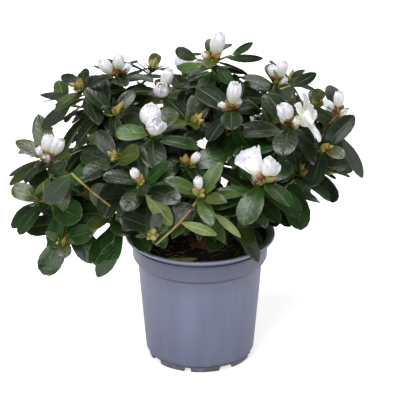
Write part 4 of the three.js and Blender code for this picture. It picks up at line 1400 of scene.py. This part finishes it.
def spun(profile, steps):
    """A closed round solid, spun about the pot's axis from (out, up) points that end on it."""
    shape = bmesh.new()
    corners = [shape.verts.new((out * MM, 0, up * MM)) for out, up in profile]
    edges = [shape.edges.new(pair) for pair in zip(corners, corners[1:])]
    bmesh.ops.spin(
        shape, geom=corners + edges, axis=(0, 0, 1), cent=(0, 0, 0), angle=2 * math.pi,
        steps=steps, use_merge=True, use_duplicate=False,
    )
    bmesh.ops.remove_doubles(shape, verts=shape.verts, dist=0.00001)
    bmesh.ops.recalc_face_normals(shape, faces=shape.faces)
    return shape


def shown(shape, name, material, sharp=POT_SHARP):
    """An object from a bmesh round the pot's axis, its place put in its mesh."""
    bmesh.ops.translate(shape, verts=shape.verts, vec=(POT_AXIS_X * MM, 0, 0))
    mesh = bpy.data.meshes.new(name)
    shape.to_mesh(mesh)
    shape.free()
    return placed(mesh, name, sharp, material)


def foot_cutters():
    """The gaps in the foot ring and the drain holes, as one cutting shape."""
    cutters = bmesh.new()
    for foot in range(FOOT_COUNT):
        bearing = (FIRST_NOTCH + foot * 360 / FOOT_COUNT) * DEGREES
        degrees = WIDE_NOTCH if foot % 2 else NARROW_NOTCH
        half = FOOT_RADIUS * math.tan(degrees / 2 * DEGREES)
        made = bmesh.ops.create_cube(cutters, size=1)["verts"]
        height = FOOT_HEIGHT - BASE_PLATE - 0.4
        for vert in made:
            slant = 1.2 if vert.co.z < 0 else 0.0
            side = math.copysign(half + slant, vert.co.x)
            out = -(FOOT_RADIUS + 3) if vert.co.y < 0 else -(FOOT_RADIUS - FOOT_WALL - 3)
            up = -1 if vert.co.z < 0 else height
            vert.co = Vector((side, out, up)) * MM
        turn = Matrix.Rotation(bearing, 3, "Z")
        bmesh.ops.rotate(cutters, verts=made, cent=(0, 0, 0), matrix=turn)
        drain = bmesh.ops.create_cone(
            cutters, cap_ends=True, segments=24, radius1=DRAIN_RADIUS * MM,
            radius2=DRAIN_RADIUS * MM, depth=10 * MM,
        )["verts"]
        bmesh.ops.translate(cutters, verts=drain, vec=(DRAIN_CIRCLE * MM, 0, FOOT_HEIGHT * MM))
        turn = Matrix.Rotation(bearing + 22.5 * DEGREES, 3, "Z")
        bmesh.ops.rotate(cutters, verts=drain, cent=(0, 0, 0), matrix=turn)
    return cutters


def make_pot(material):
    pot = shown(spun(pot_profile(), 144), "nursery_pot", material)
    cutter = shown(foot_cutters(), "foot_cutter", material)
    cut = pot.modifiers.new("feet", "BOOLEAN")
    cut.operation = "DIFFERENCE"
    cut.solver = "EXACT"
    cut.object = cutter
    depsgraph = bpy.context.evaluated_depsgraph_get()
    mesh = bpy.data.meshes.new_from_object(pot.evaluated_get(depsgraph))
    pot.modifiers.clear()
    pot.data = mesh
    mesh.set_sharp_from_angle(angle=POT_SHARP * DEGREES)
    bpy.data.objects.remove(cutter)
    return pot


# ---------------------------------------------------------------- peat and litter
SOIL_EDGE = COLLAR_FOOT_RADIUS - POT_WALL - GAP
SOIL_SETTLED = 1.2

# The peat's relief, broad humps to crumbs: how wide and how high in mm, and the slice of noise.
SOIL_RELIEF = ((22, 1.6, 3.1), (5.5, 1.1, 7.7), (2.2, 0.6, 1.3))

CRUMBS = 520
FIBRES = 110
FIBRE_RADII = np.array([0.3, 0.5, 0.5, 0.45, 0.35, 0.2])
RIM_CRUMBS = 26

# Each bark chip's place on the peat, and its size.
CHIPS = [(40, -22, 9), (49, 0, 10), (20, -44, 7), (-30, -40, 6), (-12, -47, 5), (35, -36, 5)]


def soil_level(out):
    """The peat's mean level at a distance from the pot's axis: it drops near the wall."""
    return SOIL_TOP - SOIL_EDGE_DROP * max(0, (out - SOIL_EDGE + 11) / 11) - SOIL_SETTLED


def soil_height(x, y):
    return sum(
        noise.noise(Vector((x / wide, y / wide, part))) * high for wide, high, part in SOIL_RELIEF
    )


def make_peat(material):
    ledge = COLLAR_FOOT + GAP
    foot = FOOT_HEIGHT + GAP
    profile = [
        (0, foot),
        (inner_radius(foot) - 0.9 - GAP, foot),
        (BODY_TOP_RADIUS - POT_WALL - GAP, ledge),
        (COLLAR_FOOT_RADIUS - POT_WALL - 2 * GAP, ledge + 4),
        *((out, soil_level(out)) for out in np.linspace(SOIL_EDGE, 0, 36)),
    ]
    shape = spun(profile, 150)
    for vert in shape.verts:
        if vert.co.z > (ledge + 5) * MM:
            out = math.hypot(vert.co.x, vert.co.y) / MM
            share = min(1, max(0, (SOIL_EDGE - out) / 3))
            vert.co.z += soil_height(vert.co.x / MM, vert.co.y / MM) * share * MM
    return shown(shape, "peat_surface", material, sharp=180)


def ball_form():
    """The corners and faces of a ball of 20 faces, 1 wide."""
    shape = bmesh.new()
    bmesh.ops.create_icosphere(shape, subdivisions=1, radius=0.5)
    shape.verts.index_update()
    corners = np.array([vert.co for vert in shape.verts])
    faces = np.array([[vert.index for vert in face.verts] for face in shape.faces])
    shape.free()
    return corners, faces


BALL_CORNERS, BALL_FACES = ball_form()


def lump(size, draw):
    """A small uneven lump: a ball with its corners pushed in and out."""
    push = np.array([mix(0.7, 1.25, draw()) for _ in BALL_CORNERS])[:, None]
    return BALL_CORNERS * push * np.array(size), BALL_FACES


def turn_level(points, angle):
    cos, sin = math.cos(angle), math.sin(angle)
    return points @ np.array([[cos, sin, 0], [-sin, cos, 0], [0, 0, 1]])


def lay_litter(crumbs, fibres, chips):
    """Crumbs, root fibres and bark chips that lie on the peat, and crumbs on the pot's lip."""
    draw = seeded(LITTER_SEED)

    def spot(margin):
        out = (SOIL_EDGE - margin) * math.sqrt(mix(0.04, 1, draw()))
        turn = draw() * 2 * math.pi
        x, y = out * math.cos(turn), out * math.sin(turn)
        return np.array([x, y, soil_level(out) + soil_height(x, y)])

    for _ in range(CRUMBS):
        size = mix(1.0, 4.2, draw() ** 2)
        points, faces = lump((size, size * mix(0.6, 1.2, draw()), size * 0.7), draw)
        points = turn_level(points, draw() * 6.3)
        crumbs.add(points + spot(3), faces)
    for _ in range(FIBRES):
        length = mix(5, 17, draw())
        turn = draw() * 6.3
        heading = np.array([math.cos(turn), math.sin(turn), mix(-0.12, 0.12, draw())])
        bow = np.cross(heading, UP) * mix(-0.35, 0.35, draw())
        start = spot(10)
        shares = np.linspace(0, 1, 6)
        points = start + heading * (shares * length)[:, None]
        points = points + bow * (length * shares * (1 - shares))[:, None] + UP * 0.5
        reach = np.hypot(points[:, 0], points[:, 1]).max()
        if reach > SOIL_EDGE - 1 or points[:, 2].max() > RIM_TOP - 4:
            continue
        lay_limb(fibres, points, FIBRE_RADII * mix(0.6, 1.2, draw()), 4, 0, draw() * 50)
    for _ in range(RIM_CRUMBS):
        size = mix(0.8, 2.2, draw() ** 2)
        points, faces = lump((size, size, size * 0.6), draw)
        turn = mix(-130, -50, draw()) * DEGREES
        out = mix(RIM_RADIUS - 3, RIM_RADIUS - 1, draw())
        crumbs.add(points + [out * math.cos(turn), out * math.sin(turn), LIP_TOP], faces)
    for x, y, size in CHIPS:
        points, faces = lump((size, size * 0.7, size * 0.36), draw)
        points = turn_level(points, draw() * 6.3)
        chips.add(points + [x, y, SOIL_TOP + 0.4], faces)


# ---------------------------------------------------------------- stage
CAMERA_RISE = 24
CAMERA_AWAY = 3.2
FRAME_PIXELS = 400
PIXEL_MM = 0.8632
FOOT_PIXEL = 352.7
SKY_LIGHT = 0.19
FLOOR_GLOW = 0.6
CROWN_MIDDLE = 190


def aimed(item, place, target):
    item.location = place
    item.rotation_euler = (Vector(target) - Vector(place)).to_track_quat("-Z", "Y").to_euler()
    bpy.context.scene.collection.objects.link(item)


def make_camera():
    """A long lens from the front, level with the crown and looking down on it."""
    lens = bpy.data.cameras.new("camera")
    lens.sensor_width = 36
    frame_width = FRAME_PIXELS * PIXEL_MM * MM
    lens.lens = lens.sensor_width * CAMERA_AWAY / frame_width
    lens.clip_end = 50
    rise = CAMERA_RISE * DEGREES
    up = (FOOT_PIXEL - FRAME_PIXELS / 2) * PIXEL_MM * MM / math.cos(rise)
    target = Vector((POT_AXIS_X * MM, 0, up))
    camera = bpy.data.objects.new("camera", lens)
    away = Vector((0, -math.cos(rise), math.sin(rise))) * CAMERA_AWAY
    aimed(camera, target + away, target)
    bpy.context.scene.camera = camera


def make_light(name, place, target, size, power):
    light = bpy.data.lights.new(name, "AREA")
    light.shape = "RECTANGLE"
    light.size, light.size_y = size
    light.energy = power
    aimed(bpy.data.objects.new(name, light), place, target)


def make_stage():
    """A white sweep under large soft lights."""
    world = bpy.data.worlds.new("studio")
    world.use_nodes = True
    sky = world.node_tree.nodes["Background"].inputs
    sky["Strength"].default_value = SKY_LIGHT
    sky["Color"].default_value = linear("#ffffff")
    bpy.context.scene.world = world
    bpy.context.scene.view_settings.view_transform = "Standard"
    heart = (POT_AXIS_X * MM, 0, CROWN_MIDDLE * MM)
    make_light("top_softbox", (-0.2, -0.3, 1.5), heart, (0.9, 0.8), 27)
    make_light("back_softbox", (0.3, 1.3, 1.2), heart, (1.4, 0.5), 9)
    make_light("front_softbox", (-0.5, -1.4, 1.1), heart, (0.7, 0.9), 15)
    shape = bmesh.new()
    bmesh.ops.create_grid(shape, x_segments=2, y_segments=2, size=6)
    material, tree, place = started("white_paper_sweep")
    fibre = add(tree, "TexNoise", place, per(40), 2.0, 0.5)
    paper = add(tree, "ValToRGB", fibre, stops=[(0, "#f6f6f6"), (1, "#fafafa")])
    surfaced(
        material, 0.1, fibre, Base_Color=paper, Roughness=0.9, Emission_Color="#ffffff",
        Emission_Strength=FLOOR_GLOW,
    )
    shown(shape, "floor", material)


# ---------------------------------------------------------------- the whole plant
def own(piece, slot, *nodes):
    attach(piece, "root")
    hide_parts(*nodes)


def plan_plant():
    """The masses, their whorls and all leaves: the solids' own, then the growth beyond them."""
    masses = plan_boughs()
    limbs, twigs = grow_sides(masses)
    blooms = grow_blooms(masses)
    leaves, crowd = grow_leaves(masses, limbs, twigs, blooms)
    whorls = [whorl for mass in masses for whorl in mass["whorls"]]
    draw = seeded(TONE_SEED)
    for leaf in leaves:
        leaf["tone"] = tone_of(leaf["whorl"], leaf["age"], draw())
    leaves += grow_inner_leaves(whorls, crowd, (limbs, twigs, blooms))
    leaves += grow_young_leaves(whorls)
    leaves.append(fallen_leaf())
    return masses, whorls, leaves


def lay_buds(buds, whorls):
    """Leaf and flower buds that stand round each shoot tip."""
    for number, whorl in enumerate(whorls):
        draw = seeded(BUD_SEEDS + number)
        lead = whorl is whorl["mass"]["whorls"][0]
        count = BUDS_WITH_BLOOM if lead and whorl["mass"]["blooms"] else BUDS_ALONE
        for index in range(count):
            lean = mix(0.2, 0.9, draw())
            axis = unit(whorl["axis"] + around(whorl["axis"], index * 137 + draw() * 50) * lean)
            root = whorl["centre"] - axis * 1.5
            lay_bud(buds, {"root": root, "axis": axis, "length": mix(*BUD_LENGTH, draw())}, draw)


def make_plant():
    masses, whorls, leaves = plan_plant()
    boughs, shoots, stalks, petals, scales, buds = (Joined() for _ in range(6))
    for number, (corners, *leaf) in enumerate(STRAY_SHOOTS):
        curve = Curve(*corners)
        lay_shoot(shoots, curve, 0, SHOOT_RADIUS, SHOOT_END_RADIUS, 8, number * 13)
        leaves.append(stray_leaf(curve, *leaf))
    for number, mass in enumerate(masses):
        draw = seeded(BLOOM_SEEDS + number)
        for bloom in mass["blooms"]:
            lay_bloom(petals, scales, buds, stalks, bloom, draw)
    lay_buds(buds, whorls)
    lay_wood(boughs, shoots, masses)

    foliage = [f"foliage_{mass['name']}" for mass in masses]
    wood = ["stem", *(f"bough_{mass['name']}" for mass in masses)]
    bark = living_bark("flaking_bark", "#3c2116", "#6a3820", "#8a552e", "#25150e", 0.8, 11)
    own(boughs.piece("stem_and_boughs", bark), "bark", *wood)
    bark = living_bark("young_shoot_bark", "#6b3c1e", "#85723a", "#747f34", "#4a3018", 0.6, 22)
    own(shoots.piece("shoots", bark), "bark", *foliage)
    laid = lay_leaves(leaves)
    for tone, (face, back) in LEAF_TONES.items():
        waxy = waxy_leaf(f"waxy_leaf_{tone}", *face)
        dull = dull_leaf_back(f"leaf_back_{tone}", *back)
        own(laid[tone].piece(f"leaves_{tone}", waxy, dull), "foliage", *foliage)
    stalk = living_bark("flower_stalk", "#7c4a26", "#8a7a34", "#8c9440", "#6a4420", 0.55, 9)
    rusty = bud_scale("rusty_scale", "#4a260e", "#7c4620", "#b57c54")
    green = bud_scale("green_bud_scale", "#404c16", "#747a32", "#9c7046")
    for joined, name, material in (
        (stalks, "flower_stalks", stalk), (petals, "petals", crepe_petal()),
        (scales, "flower_scales", rusty), (buds, "buds", green),
    ):
        own(joined.piece(name, material), "foliage", *foliage)


def make_pot_and_peat():
    own(make_pot(moulded_polypropylene()), "pot", "pot")
    peat = damp_peat()
    own(make_peat(peat), "soil", "soil")
    crumbs, fibres, chips = Joined(), Joined(), Joined()
    lay_litter(crumbs, fibres, chips)
    own(crumbs.piece("peat_crumbs", peat), "soil", "soil")
    fibre = split_wood("root_fibre", "#4a3020", "#9a7a54")
    own(fibres.piece("peat_fibres", fibre), "soil", "soil")
    own(chips.piece("bark_chips", split_wood("bark_chip", "#3a1c10", "#8a4a2c")), "soil", "soil")


make_camera()
make_stage()
make_pot_and_peat()
make_plant()
